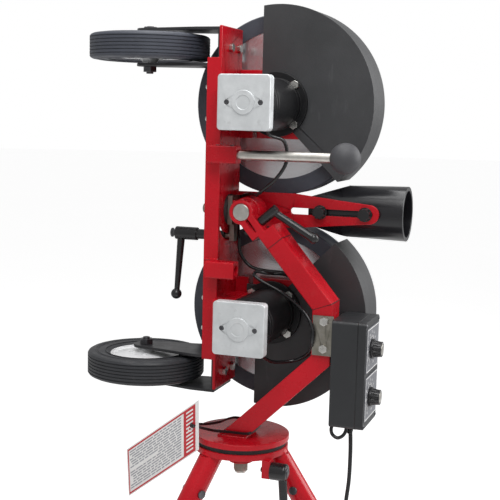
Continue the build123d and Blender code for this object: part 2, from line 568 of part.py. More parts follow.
with BuildPart() as handle_ball:
    with Locations((178, HANDLE_Y, BALL_Z + HANDLE_OFFSET)):
        Sphere(GRIP_R)
    rod((100, HANDLE_Y, BALL_Z + HANDLE_OFFSET), X_AXIS, HANDLE_R, 66, mode=Mode.SUBTRACT)
save(handle_ball, "handle_ball")

MOTOR_Z = BALL_Z + WHEEL_OFFSET
with BuildPart() as motor_mounts:
    with BuildSketch(facing_front(PLATE_Y)):
        with Locations((WHEEL_X, MOTOR_Z)):
            with Locations((-3.5, 0)):
                Rectangle(127, 114)
            with Locations((-39.5, -46)):
                Rectangle(9, 22, mode=Mode.SUBTRACT)
            Circle(21, mode=Mode.SUBTRACT)
            with GridLocations(2 * MOTOR_BOLT_OFF, 2 * MOTOR_BOLT_OFF, 2, 2):
                Circle(4.1, mode=Mode.SUBTRACT)
    extrude(amount=-PLATE_T)
    box(WEB_X1, 0, -62, 34, MOTOR_Z - 34, MOTOR_Z + 34)
    rod((WHEEL_X, -70, MOTOR_Z), Y_AXIS, MOTOR_R, 110, mode=Mode.SUBTRACT)
    for dz in SADDLE_DZ:
        rod((WEB_X1 - 1, SADDLE_Y, MOTOR_Z + dz), X_AXIS, 4.0, 26, mode=Mode.SUBTRACT)
    mirror(about=BALL_PLANE)
save(motor_mounts, "motor_mounts")

with BuildPart() as saddle_studs:
    for dz in SADDLE_DZ:
        rod((-72, SADDLE_Y, MOTOR_Z + dz), X_AXIS, 4.0, 61)
        hexagon((WEB_X0, SADDLE_Y, MOTOR_Z + dz), NEG_X, 13, 7)
    mirror(about=BALL_PLANE)
save(saddle_studs, "saddle_studs")

with BuildPart() as motor_housings:
    rod((WHEEL_X, MOTOR_Y0, MOTOR_Z), Y_AXIS, MOTOR_R, MOTOR_Y1 - MOTOR_Y0)
    rod((WHEEL_X, MOTOR_Y1 - FLANGE_THICK, MOTOR_Z), Y_AXIS, FLANGE_R, FLANGE_THICK)
    inner = MOTOR_R - MOTOR_WALL
    rod((WHEEL_X, MOTOR_Y0 + 14, MOTOR_Z), Y_AXIS, inner, MOTOR_Y1 - MOTOR_Y0 - 28, Mode.SUBTRACT)
    for y in (MOTOR_Y0 + 4, MOTOR_Y1 - 4 - BEARING_W):
        rod((WHEEL_X, y, MOTOR_Z), Y_AXIS, BEARING_R, BEARING_W, mode=Mode.SUBTRACT)
    rod((WHEEL_X, 0, MOTOR_Z), Y_AXIS, ROTOR_SHAFT_R + 1, 60, mode=Mode.SUBTRACT)
    with BuildSketch(facing_front(MOTOR_Y1)):
        with Locations((WHEEL_X, MOTOR_Z)):
            with GridLocations(2 * MOTOR_BOLT_OFF, 2 * MOTOR_BOLT_OFF, 2, 2):
                Circle(4.1)
    extrude(amount=FLANGE_THICK, mode=Mode.SUBTRACT)
    for dx in (-MOTOR_BOLT_OFF, MOTOR_BOLT_OFF):
        for dz in (-MOTOR_BOLT_OFF, MOTOR_BOLT_OFF):
            notch = (WHEEL_X + dx, MOTOR_Y1 - FLANGE_THICK, MOTOR_Z + dz)
            rod(notch, NEG_Y, 8.0, 6, mode=Mode.SUBTRACT)
    mirror(about=BALL_PLANE)
save(motor_housings, "motor_housings")

with BuildPart() as motor_bearings:
    for y in (MOTOR_Y0 + 4, MOTOR_Y1 - 4 - BEARING_W):
        rod((WHEEL_X, y, MOTOR_Z), Y_AXIS, BEARING_R, BEARING_W)
        rod((WHEEL_X, y, MOTOR_Z), Y_AXIS, ROTOR_SHAFT_R + RUN, BEARING_W, mode=Mode.SUBTRACT)
    mirror(about=BALL_PLANE)
save(motor_bearings, "motor_bearings")

with BuildPart() as motor_covers:
    cover_y = MOTOR_Y0 - COVER_DEPTH
    half = COVER_SIDE / 2
    box(WHEEL_X - half, WHEEL_X + half, cover_y, MOTOR_Y0, MOTOR_Z - half, MOTOR_Z + half)
    fillet(motor_covers.edges().filter_by(Axis.Y), 6)
    fillet(motor_covers.faces().sort_by(Axis.Y)[0].edges(), 2)
    rod((WHEEL_X, cover_y, MOTOR_Z), NEG_Y, 18.5, 2.2)
    rod((WHEEL_X, cover_y - 2.2, MOTOR_Z), Y_AXIS, 11, 1.2, mode=Mode.SUBTRACT)
    for dx in (-COVER_SCREW, COVER_SCREW):
        rod((WHEEL_X + dx, cover_y, MOTOR_Z), Y_AXIS, 2.5, COVER_DEPTH, mode=Mode.SUBTRACT)
    box(
        WHEEL_X - half + 5, WHEEL_X + half - 5, cover_y + 5, MOTOR_Y0,
        MOTOR_Z - half + 5, MOTOR_Z + half - 5, mode=Mode.SUBTRACT,
    )
    for dx in (-COVER_SCREW, COVER_SCREW):
        rod((WHEEL_X + dx, cover_y + 5, MOTOR_Z), Y_AXIS, 5.5, COVER_DEPTH - 5)
        rod((WHEEL_X + dx, cover_y, MOTOR_Z), Y_AXIS, 2.5, COVER_DEPTH, mode=Mode.SUBTRACT)
        rod((WHEEL_X + dx, cover_y, MOTOR_Z), Y_AXIS, SINK_R + 0.1, SINK_DEPTH, mode=Mode.SUBTRACT)
    # cable gland opening in the corner nearest the ball's path
    rod((WHEEL_X + 30, cover_y + 9, MOTOR_Z - half + 6), (0, 0, -1), 3.0, 12, mode=Mode.SUBTRACT)
    mirror(about=BALL_PLANE)
save(motor_covers, "motor_covers")

with BuildPart() as cover_screws:
    for dx in (-COVER_SCREW, COVER_SCREW):
        head_y = cover_y + 0.4
        rod((WHEEL_X + dx, head_y, MOTOR_Z), Y_AXIS, 2.5, COVER_DEPTH - 0.4)
        rod((WHEEL_X + dx, head_y, MOTOR_Z), Y_AXIS, SINK_R, SINK_DEPTH - 0.4)
        hexagon((WHEEL_X + dx, head_y, MOTOR_Z), Y_AXIS, 3, 1.4, mode=Mode.SUBTRACT)
    mirror(about=BALL_PLANE)
save(cover_screws, "cover_screws")

with BuildPart() as flange_bolts:
    for dx in (-MOTOR_BOLT_OFF, MOTOR_BOLT_OFF):
        for dz in (-MOTOR_BOLT_OFF, MOTOR_BOLT_OFF):
            at = (WHEEL_X + dx, MOTOR_Y1 - FLANGE_THICK, MOTOR_Z + dz)
            rod(at, Y_AXIS, 4.0, PLATE_Y + PLATE_T - at[1] + 5)
            hexagon(at, NEG_Y, 13, 5.5)
            nut = (at[0], PLATE_Y + PLATE_T, at[2])
            hexagon(nut, Y_AXIS, 13, 4)
    mirror(about=BALL_PLANE)
save(flange_bolts, "flange_bolts")

GUARD_FROM, GUARD_TO = -49.2, 99.7
with BuildPart() as guard_upper:
    edge_from = (GUARD_R * cos(radians(GUARD_FROM)), GUARD_R * sin(radians(GUARD_FROM)))
    edge_to = (GUARD_R * cos(radians(GUARD_TO)), GUARD_R * sin(radians(GUARD_TO)))
    with BuildSketch(Plane(origin=(WHEEL_X, GUARD_Y, MOTOR_Z), x_dir=X_AXIS, z_dir=NEG_Y)):
        with BuildLine():
            CenterArc((0, 0), GUARD_R, GUARD_FROM, GUARD_TO - GUARD_FROM)
            Polyline(
                edge_to, (edge_to[0], 46), (-46, 46), (-46, -46), (edge_from[0] - 79.3, -46),
                edge_from,
            )
        make_face()
        Circle(19, mode=Mode.SUBTRACT)
        with GridLocations(2 * MOTOR_BOLT_OFF, 2 * MOTOR_BOLT_OFF, 2, 2):
            Circle(4.1, mode=Mode.SUBTRACT)
    extrude(amount=-GUARD_SHEET)
    with BuildSketch(Plane(origin=(WHEEL_X, GUARD_Y, MOTOR_Z), x_dir=X_AXIS, z_dir=NEG_Y)):
        with BuildLine():
            CenterArc((0, 0), GUARD_R, GUARD_FROM, GUARD_TO - GUARD_FROM)
            inner = GUARD_R - GUARD_SHEET
            CenterArc((0, 0), inner, GUARD_FROM, GUARD_TO - GUARD_FROM)
            for a in (GUARD_FROM, GUARD_TO):
                ca, sa = cos(radians(a)), sin(radians(a))
                Line((GUARD_R * ca, GUARD_R * sa), (inner * ca, inner * sa))
        make_face()
    extrude(amount=-(GUARD_FAR - GUARD_Y))
save(guard_upper, "guard_upper")

with BuildPart() as guard_lower:
    mirror(guard_upper.part, about=BALL_PLANE)
save(guard_lower, "guard_lower")

# ================================ pitching wheels ==============================================
with BuildPart() as hub_upper:
    rod((WHEEL_X, WHEEL_Y0 + 2.5, MOTOR_Z), Y_AXIS, HUB_R, 50)
    rod((WHEEL_X, WHEEL_Y0 + 14.5, MOTOR_Z), Y_AXIS, HUB_R - 14, 60, mode=Mode.SUBTRACT)
    rod((WHEEL_X, WHEEL_Y0 - 3, MOTOR_Z), Y_AXIS, 22, 48)
    rod((WHEEL_X, WHEEL_Y0 - 5, MOTOR_Z), Y_AXIS, ROTOR_SHAFT_R, 70, mode=Mode.SUBTRACT)
save(hub_upper, "hub_upper")

with BuildPart() as tyre_upper:
    with BuildSketch(Plane(origin=(WHEEL_X, BALL_Y, MOTOR_Z), x_dir=Y_AXIS, z_dir=X_AXIS)):
        half_w = (WHEEL_Y1 - WHEEL_Y0) / 2
        with BuildLine():
            Polyline(
                (-half_w + 8, TYRE_R), (-half_w + 1.5, TYRE_R), (-half_w, TYRE_R - 1.5),
                (-half_w, HUB_R), (half_w, HUB_R), (half_w, TYRE_R - 1.5),
                (half_w - 1.5, TYRE_R), (half_w - TYRE_SHOULDER, TYRE_R),
            )
            ThreePointArc(
                (half_w - TYRE_SHOULDER, TYRE_R), (0, TYRE_R - TYRE_DISH),
                (-half_w + TYRE_SHOULDER, TYRE_R),
            )
        make_face()
    revolve(axis=Axis((WHEEL_X, 0, MOTOR_Z), Y_AXIS))
save(tyre_upper, "tyre_upper")

with BuildPart() as rotor_upper:
    start = MOTOR_Y0 + 4
    rod((WHEEL_X, start, MOTOR_Z), Y_AXIS, ROTOR_SHAFT_R, WHEEL_Y0 + 47 - start)
    rod((WHEEL_X, MOTOR_Y0 + 40, MOTOR_Z), Y_AXIS, ROTOR_R, 80)
    rod((WHEEL_X, MOTOR_Y0 + 20, MOTOR_Z), Y_AXIS, 17, 14)
    rod((WHEEL_X, WHEEL_Y0 + 45, MOTOR_Z), Y_AXIS, 17, 2.5)
    hexagon((WHEEL_X, WHEEL_Y0 + 47.5, MOTOR_Z), Y_AXIS, 19, 7)
save(rotor_upper, "rotor_upper")

for name, source in (("hub", hub_upper), ("tyre", tyre_upper), ("rotor", rotor_upper)):
    with BuildPart() as lower_piece:
        mirror(source.part, about=BALL_PLANE)
    save(lower_piece, f"{name}_lower")

# ================================ feed tube =====================================================
with BuildPart() as feed_bracket:
    with BuildSketch(facing_front(BRACKET_Y)):
        with BuildLine():
            Polyline(
                (197, BALL_Z + 16), (107, BALL_Z + 25), (70, BALL_Z + 29), (WEB_X1, BALL_Z + 29),
                (WEB_X1, BALL_Z - 29), (70, BALL_Z - 29), (107, BALL_Z - 25), (197, BALL_Z - 16),
            )
            ThreePointArc((197, BALL_Z - 16), (213.5, BALL_Z), (197, BALL_Z + 16))
        make_face()
        with Locations(((SLOT_X0 + SLOT_X1) / 2, BALL_Z)):
            SlotOverall(SLOT_X1 - SLOT_X0, 2 * SLOT_HALF, mode=Mode.SUBTRACT)
    extrude(amount=-BRACKET_T)
    box(WEB_X1, WEB_X1 + 4, 34, BRACKET_Y + BRACKET_T, BALL_Z - 29, BALL_Z + 29)
save(feed_bracket, "feed_bracket")

with BuildPart() as feed_tube:
    with Locations(Plane(origin=(TUBE_FRONT, BALL_Y, BALL_Z), z_dir=X_AXIS)):
        Cone(TUBE_R_FRONT, TUBE_R_MOUTH, TUBE_MOUTH - TUBE_FRONT, align=LOW)
    rail_y = BRACKET_Y + BRACKET_T
    box(102, 202, rail_y + 0.1, BALL_Y - 38, BALL_Z - 12, BALL_Z + 12)
    rod((TUBE_FRONT - 5, BALL_Y, BALL_Z), X_AXIS, TUBE_BORE, 200, mode=Mode.SUBTRACT)
    # bevels that let the front end reach between the wheels
    with BuildSketch(facing_front(BALL_Y)):
        for side in (-1, 1):
            Polygon(
                (TUBE_FRONT - 5, BALL_Z + side * (TUBE_TIP_HALF - 1.6)),
                (TUBE_FRONT + 60, BALL_Z + side * (TUBE_TIP_HALF + 19.3)),
                (TUBE_FRONT + 60, BALL_Z + side * 60),
                (TUBE_FRONT - 5, BALL_Z + side * 60),
                align=None,
            )
    extrude(amount=60, both=True, mode=Mode.SUBTRACT)
    for x in KNOB_X:
        rod((x, rail_y - 1, BALL_Z), Y_AXIS, FEED_STUD_R + RUN, 9, mode=Mode.SUBTRACT)
save(feed_tube, "feed_tube")

for name, x in zip(("feed_knob_front", "feed_knob_rear"), KNOB_X):
    with BuildPart() as feed_knob:
        rod((x, BRACKET_Y - 2, BALL_Z), Y_AXIS, FEED_STUD_R, BRACKET_T + 9)
        rod((x, BRACKET_Y - 0.1, BALL_Z), NEG_Y, 12, 2)
        rod((x, BRACKET_Y - 2.1, BALL_Z), NEG_Y, 10.5, 11)
        with Locations(Plane(origin=(x, BRACKET_Y - 2.1, BALL_Z), z_dir=NEG_Y)):
            with PolarLocations(11.6, 8):
                Cylinder(2.6, 20, align=LOW, mode=Mode.SUBTRACT)
    save(feed_knob, name)

# ================================ transport wheels ==============================================
AXLE_Z = ROLLER_MID_Z + AXLE_OFFSET
ROLLER_PLANE = Plane.XY.offset(ROLLER_MID_Z)
with BuildPart() as transport_forks:
    for z in (AXLE_Z + FORK_GAP / 2, AXLE_Z - FORK_GAP / 2 - FORK_T):
        with BuildSketch(Plane.XY.offset(z)):
            Polygon(
                (WEB_X0, FORK_Y0), (WEB_X0 - 42, FORK_Y0), (AXLE_X, AXLE_Y - 22),
                (AXLE_X, AXLE_Y + 22), (WEB_X0 - 42, FORK_Y1), (WEB_X0, FORK_Y1), align=None,
            )
            with Locations((AXLE_X, AXLE_Y)):
                Circle(22)
                Circle(AXLE_R, mode=Mode.SUBTRACT)
        extrude(amount=FORK_T)
    reach = FORK_GAP / 2 + FORK_T
    box(WEB_X0 - FORK_T, WEB_X0, FORK_Y0, FORK_Y1, AXLE_Z - reach, AXLE_Z + reach)
    for y in FORK_BOLT_Y:
        rod((WEB_X0 - 10, y, AXLE_Z), X_AXIS, 4.1, 12, mode=Mode.SUBTRACT)
    mirror(about=ROLLER_PLANE)
save(transport_forks, "transport_forks")

with BuildPart() as fork_bolts:
    for y in FORK_BOLT_Y:
        rod((WEB_X0 - FORK_T - 10, y, AXLE_Z), X_AXIS, 4.0, 20)
        hexagon((WEB_X1, y, AXLE_Z), X_AXIS, 13, 5.5)
        hexagon((WEB_X0 - FORK_T, y, AXLE_Z), NEG_X, 13, 6.5)
    mirror(about=ROLLER_PLANE)
save(fork_bolts, "fork_bolts")

with BuildPart() as transport_axles:
    reach = FORK_GAP / 2 + FORK_T
    rod((AXLE_X, AXLE_Y, AXLE_Z - reach - 12), (0, 0, 1), AXLE_R, 2 * reach + 16)
    hexagon((AXLE_X, AXLE_Y, AXLE_Z - reach), (0, 0, -1), AXLE_NUT_AF, 9)
    hexagon((AXLE_X, AXLE_Y, AXLE_Z + reach), (0, 0, 1), AXLE_NUT_AF, 3)
    mirror(about=ROLLER_PLANE)
save(transport_axles, "transport_axles")

with BuildPart() as roller_tyre_upper:
    with BuildSketch(Plane(origin=(AXLE_X, AXLE_Y, AXLE_Z), x_dir=X_AXIS, z_dir=NEG_Y)):
        h = ROLLER_W / 2
        Polygon(
            (ROLLER_HUB_R, -h + 6), (ROLLER_HUB_R + 6, -h + 2), (ROLLER_R - 12, -h),
            (ROLLER_R - 5, -h + 0.6), (ROLLER_R - 1.6, -h + 2.4), (ROLLER_R, -h + 5),
            (ROLLER_R, h - 5), (ROLLER_R - 1.6, h - 2.4), (ROLLER_R - 5, h - 0.6),
            (ROLLER_R - 12, h), (ROLLER_HUB_R + 6, h - 2), (ROLLER_HUB_R, h - 6), align=None,
        )
        with Locations(*[(ROLLER_R, (i - 2.5) * 5.6) for i in range(6)]):
            Rectangle(3.0, 1.6, mode=Mode.SUBTRACT)
    revolve(axis=Axis((AXLE_X, AXLE_Y, 0), (0, 0, 1)))
save(roller_tyre_upper, "roller_tyre_upper")

with BuildPart() as roller_hub_upper:
    with BuildSketch(Plane(origin=(AXLE_X, AXLE_Y, AXLE_Z), x_dir=X_AXIS, z_dir=NEG_Y)):
        h = ROLLER_W / 2
        Polygon(
            (AXLE_R + RUN, -h - 4), (12, -h - 4), (16, -h + 2), (34, -h + 4), (54, -h + 8),
            (ROLLER_HUB_R, -h + 6), (ROLLER_HUB_R, h - 6), (54, h - 8), (34, h - 4),
            (16, h - 2), (12, h + 4), (AXLE_R + RUN, h + 4), align=None,
        )
    revolve(axis=Axis((AXLE_X, AXLE_Y, 0), (0, 0, 1)))
save(roller_hub_upper, "roller_hub_upper")

for name, source in (("tyre", roller_tyre_upper), ("hub", roller_hub_upper)):
    with BuildPart() as lower_roller:
        mirror(source.part, about=ROLLER_PLANE)
    save(lower_roller, f"roller_{name}_lower")

# ================================ write the pieces ===============================================
feet = leg_feet.part.bounding_box().center()
for name, part in pieces.items():
    placed = part.moved(Location((-feet.X, -feet.Y, 0)))
    placed.label = name
    export_step(placed, f"parts/{name}.step")
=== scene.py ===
"""Looks for the baseball pitching machine.

Materials, soft pieces, small fittings, floor, light and camera.

Lengths are metres in the row frame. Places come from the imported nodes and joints.
"""

import json
import math
import random

import bmesh
import bpy
from mathutils import Matrix, Vector


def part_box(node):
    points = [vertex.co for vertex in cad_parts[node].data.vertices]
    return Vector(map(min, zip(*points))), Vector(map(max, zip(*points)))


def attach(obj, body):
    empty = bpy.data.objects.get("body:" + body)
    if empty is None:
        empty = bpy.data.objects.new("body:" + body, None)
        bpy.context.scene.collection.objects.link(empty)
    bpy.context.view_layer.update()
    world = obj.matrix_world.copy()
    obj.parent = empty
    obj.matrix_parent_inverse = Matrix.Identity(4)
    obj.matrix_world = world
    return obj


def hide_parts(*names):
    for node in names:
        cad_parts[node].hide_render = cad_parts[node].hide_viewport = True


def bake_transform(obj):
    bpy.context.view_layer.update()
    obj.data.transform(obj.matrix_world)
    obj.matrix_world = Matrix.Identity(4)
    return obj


MM = 0.001
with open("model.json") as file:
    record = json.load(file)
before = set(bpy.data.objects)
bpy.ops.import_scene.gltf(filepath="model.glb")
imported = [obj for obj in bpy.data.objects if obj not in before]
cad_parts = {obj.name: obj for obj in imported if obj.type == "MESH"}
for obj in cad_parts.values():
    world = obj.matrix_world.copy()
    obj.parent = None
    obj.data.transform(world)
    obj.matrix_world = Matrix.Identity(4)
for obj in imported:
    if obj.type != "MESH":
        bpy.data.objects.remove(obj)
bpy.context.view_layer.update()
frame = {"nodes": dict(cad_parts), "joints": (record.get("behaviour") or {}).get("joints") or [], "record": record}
JOINTS = {joint["name"]: joint for joint in frame["joints"]}
X, Y, Z = Vector((1, 0, 0)), Vector((0, 1, 0)), Vector((0, 0, 1))


def middle(node):
    """Centre of a CAD node's box."""
    low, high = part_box(node)
    return (low + high) / 2


PIVOT = Vector(JOINTS["tilt"]["pos_m"])
WHEELS = {side: middle(f"tyre_{side}") for side in ("upper", "lower")}
ROLLERS = {side: middle(f"roller_tyre_{side}") for side in ("upper", "lower")}
TABLE_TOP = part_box("table_plate")[1].z
SWIVEL = Vector(JOINTS["swivel"]["pos_m"])


def at(x, y, z):
    """Point given in millimetres from the swivel axis and the top of the turntable."""
    return Vector((SWIVEL.x + x * MM, SWIVEL.y + y * MM, TABLE_TOP + z * MM))


# ------------------------------------------------------------------ shader building blocks
class Nodes:
    """Lays down and joins the shader nodes of one material."""

    def __init__(self, name):
        self.mat = bpy.data.materials.new(name)
        self.mat.use_nodes = True
        self.tree = self.mat.node_tree
        self.bsdf = self.tree.nodes["Principled BSDF"]
        self.place = self.add("TexCoord").outputs["Object"]

    def put(self, socket, value):
        if isinstance(value, bpy.types.NodeSocket):
            self.tree.links.new(value, socket)
        else:
            socket.default_value = value

    def add(self, kind, inputs=None, **settings):
        node = self.tree.nodes.new("ShaderNode" + kind)
        for key, value in settings.items():
            setattr(node, key, value)
        for key, value in (inputs or {}).items():
            self.put(node.inputs[key], value)
        return node

    def math(self, operation, a, b=0.0, clamp=False):
        node = self.add("Math", {0: a, 1: b}, operation=operation, use_clamp=clamp)
        return node.outputs[0]

    def noise(self, size, detail=3.0, stretch=None, seed=0.0):
        """Cloudy pattern whose blobs are about size metres across."""
        place = self.add(
            "Mapping",
            {"Vector": self.place, "Location": (seed,) * 3, "Scale": stretch or (1, 1, 1)},
        ).outputs[0]
        inputs = {"Vector": place, "Scale": 1 / size, "Detail": detail, "Roughness": 0.6}
        return self.add("TexNoise", inputs).outputs["Fac"]

    def remap(self, value, low, high, to_low=0.0, to_high=1.0):
        inputs = {"Value": value, 1: low, 2: high, 3: to_low, 4: to_high}
        return self.add("MapRange", inputs, clamp=True).outputs["Result"]

    def mix(self, share, a, b):
        inputs = {0: share, 6: self.colour(a), 7: self.colour(b)}
        return self.add("Mix", inputs, data_type="RGBA").outputs[2]

    @staticmethod
    def colour(value):
        return value if isinstance(value, bpy.types.NodeSocket) else (*value, 1.0)

    def edges(self, radius):
        """1 along rounded-over edges, 0 on flats."""
        worn = self.add("Bevel", {"Radius": radius}, samples=4).outputs[0]
        plain = self.add("NewGeometry").outputs["Normal"]
        dot = self.add("VectorMath", {0: worn, 1: plain}, operation="DOT_PRODUCT").outputs["Value"]
        return self.remap(dot, 0.9995, 0.90)

    def bump(self, *layers):
        """Stacks bumps of (height, depth in metres)."""
        normal = None
        for height, depth in layers:
            inputs = {"Height": height, "Distance": depth, "Strength": 1.0}
            if normal is not None:
                inputs["Normal"] = normal
            normal = self.add("Bump", inputs).outputs[0]
        self.put(self.bsdf.inputs["Normal"], normal)

    def finish(self, colour, roughness, **sockets):
        self.put(self.bsdf.inputs["Base Color"], self.colour(colour))
        self.put(self.bsdf.inputs["Roughness"], roughness)
        for key, value in sockets.items():
            self.put(self.bsdf.inputs[key.replace("_", " ")], value)
        return self.mat


# ------------------------------------------------------------------ materials
def red_paint():
    """Gloss enamel over steel: orange peel, faint dust, thin chips on the edges."""
    n = Nodes("red_paint")
    tone = n.remap(n.noise(0.11, 2), 0.3, 0.7)
    red = n.mix(tone, (0.43, 0.003, 0.010), (0.54, 0.005, 0.015))
    dust = n.remap(n.noise(0.02, 5, seed=3), 0.60, 0.88, 0.0, 0.06)
    red = n.mix(dust, red, (0.50, 0.20, 0.20))
    chips = n.math("MULTIPLY", n.edges(0.0012), n.remap(n.noise(0.006, 4, seed=7), 0.60, 0.68))
    red = n.mix(chips, red, (0.09, 0.035, 0.035))
    scratch = n.noise(0.004, 2, stretch=(0.08, 1.0, 1.6), seed=5)
    rough = n.remap(n.noise(0.03, 4, seed=2), 0.3, 0.75, 0.20, 0.36)
    rough = n.math("ADD", rough, n.math("MULTIPLY", chips, 0.4))
    n.bump((n.noise(0.0035, 2), 0.00012), (scratch, 0.00003), (chips, -0.00008))
    return n.finish(red, rough, Coat_Weight=0.18, Coat_Roughness=0.06, Specular_IOR_Level=0.25)


def black_guard():
    """Fine textured powder coat on folded sheet."""
    n = Nodes("black_guard")
    tone = n.mix(n.remap(n.noise(0.09, 4), 0.3, 0.7), (0.023, 0.024, 0.026), (0.035, 0.036, 0.039))
    edge = n.math("MULTIPLY", n.edges(0.0009), n.remap(n.noise(0.008, 3, seed=4), 0.4, 0.7))
    tone = n.mix(edge, tone, (0.16, 0.16, 0.165))
    scuff = n.remap(n.noise(0.02, 6, stretch=(1, 1, 0.25), seed=9), 0.62, 0.8)
    tone = n.mix(n.math("MULTIPLY", scuff, 0.35), tone, (0.11, 0.11, 0.115))
    n.bump((n.noise(0.0011, 3), 0.00014), (n.noise(0.004, 2, seed=6), 0.00006))
    rough = n.remap(n.noise(0.05, 3, seed=1), 0.3, 0.7, 0.40, 0.54)
    return n.finish(tone, rough, Specular_IOR_Level=0.62)


def motor_black():
    """Satin paint on a rolled motor body, with faint bands."""
    n = Nodes("motor_black")
    tone = n.mix(n.noise(0.05, 4), (0.004, 0.004, 0.005), (0.010, 0.010, 0.011))
    n.bump((n.noise(0.0016, 3), 0.0001), (n.noise(0.02, 2, stretch=(0.1, 1, 0.1)), 0.0001))
    rough = n.remap(n.noise(0.03, 4, seed=2), 0.3, 0.7, 0.30, 0.44)
    return n.finish(tone, rough, Specular_IOR_Level=0.35)


def metal(name, light, dark, rough, grain=(1, 1, 1), depth=0.00004, spots=0.0, metallic=1.0):
    """Bare or plated metal with grain drawn out along an axis, and cloudy tarnish."""
    n = Nodes(name)
    tone = n.mix(n.remap(n.noise(0.018, 5), 0.35, 0.7), light, dark)
    if spots:
        mark = n.remap(n.noise(0.003, 4, seed=8), 0.66, 0.74, 0.0, spots)
        tone = n.mix(mark, tone, tuple(0.35 * c for c in dark))
    low, high = rough
    n.bump((n.noise(0.0016, 3, stretch=grain), depth))
    shine = n.remap(n.noise(0.012, 4, seed=2), 0.3, 0.7, low, high)
    return n.finish(tone, shine, Metallic=metallic)


def zinc():
    return metal("zinc", (0.34, 0.32, 0.28), (0.20, 0.19, 0.155), (0.30, 0.50), spots=0.4)


def steel():
    return metal("steel", (0.66, 0.64, 0.60), (0.48, 0.46, 0.42), (0.26, 0.42), grain=(0.05, 1, 1))


def dark_steel():
    return metal("dark_steel", (0.16, 0.16, 0.17), (0.07, 0.07, 0.075), (0.30, 0.50))


def bronze():
    return metal("bronze", (0.60, 0.40, 0.20), (0.42, 0.27, 0.12), (0.25, 0.40))


def cast_aluminium():
    """Sand-textured casting under a thin silver coat."""
    n = Nodes("cast_aluminium")
    tone = n.mix(n.remap(n.noise(0.03, 5), 0.3, 0.7), (0.56, 0.58, 0.59), (0.70, 0.72, 0.73))
    grime = n.remap(n.noise(0.012, 6, seed=4), 0.62, 0.82, 0.0, 0.45)
    tone = n.mix(grime, tone, (0.26, 0.25, 0.24))
    n.bump((n.noise(0.0018, 4), 0.00022), (n.noise(0.0007, 2, seed=3), 0.00008))
    rough = n.remap(n.noise(0.02, 3, seed=5), 0.3, 0.7, 0.36, 0.52)
    return n.finish(tone, rough, Metallic=0.35)


def turned_aluminium(name, axis_point):
    """Lathe-turned disc face: rings about the wheel's axis, with a soft stain."""
    n = Nodes(name)
    inputs = {0: n.place, 1: tuple(axis_point)}
    offset = n.add("VectorMath", inputs, operation="SUBTRACT").outputs[0]
    flat = n.add("VectorMath", {0: offset, 1: (1, 0, 1)}, operation="MULTIPLY").outputs[0]
    radius = n.add("VectorMath", {0: flat}, operation="LENGTH").outputs["Value"]
    track = n.add("CombineXYZ", {0: radius}).outputs[0]
    fine = n.add("TexNoise", {"Vector": track, "Scale": 2600.0, "Detail": 3.0}).outputs["Fac"]
    broad = n.add("TexNoise", {"Vector": track, "Scale": 150.0, "Detail": 2.0}).outputs["Fac"]
    tone = n.mix(n.remap(broad, 0.3, 0.7), (0.66, 0.66, 0.68), (0.74, 0.74, 0.76))
    tone = n.mix(n.remap(n.noise(0.03, 5), 0.60, 0.8, 0.0, 0.2), tone, (0.46, 0.45, 0.44))
    n.bump((fine, 0.00001), (broad, 0.00001))
    return n.finish(tone, n.remap(fine, 0.3, 0.7, 0.20, 0.28), Metallic=0.85)


def rubber(name, base, rough=(0.5, 0.7), grain=0.0012, dust=0.2):
    """Moulded rubber with a dry bloom."""
    n = Nodes(name)
    tone = n.mix(n.noise(0.03, 5), base, tuple(1.8 * c for c in base))
    bloom = n.remap(n.noise(0.009, 6, seed=4), 0.56, 0.82, 0.0, dust)
    tone = n.mix(bloom, tone, (0.16, 0.15, 0.14))
    n.bump((n.noise(grain, 3), 0.00012))
    return n.finish(tone, n.remap(n.noise(0.02, 3, seed=2), 0.3, 0.7, *rough))


def plastic(name, base, rough, grain=0.002, depth=0.00003, streaks=None, coat=0.0):
    """Moulded or extruded plastic."""
    n = Nodes(name)
    tone = n.mix(n.noise(0.05, 4, stretch=streaks), base, tuple(1.25 * c + 0.004 for c in base))
    scuff = n.remap(n.noise(0.01, 6, stretch=streaks, seed=5), 0.66, 0.80, 0.0, 0.12)
    tone = n.mix(scuff, tone, tuple(0.5 * c + 0.12 for c in base))
    n.bump((n.noise(grain, 3, stretch=streaks), depth))
    shine = n.remap(n.noise(0.02, 4, stretch=streaks, seed=2), 0.3, 0.7, *rough)
    return n.finish(tone, shine, Coat_Weight=coat, Coat_Roughness=0.1)


def card(name, base):
    """Printed card with a soft tooth."""
    n = Nodes(name)
    tone = n.mix(n.noise(0.02, 4), base, tuple(0.90 * c for c in base))
    n.bump((n.noise(0.0009, 3), 0.00004))
    return n.finish(tone, 0.45)


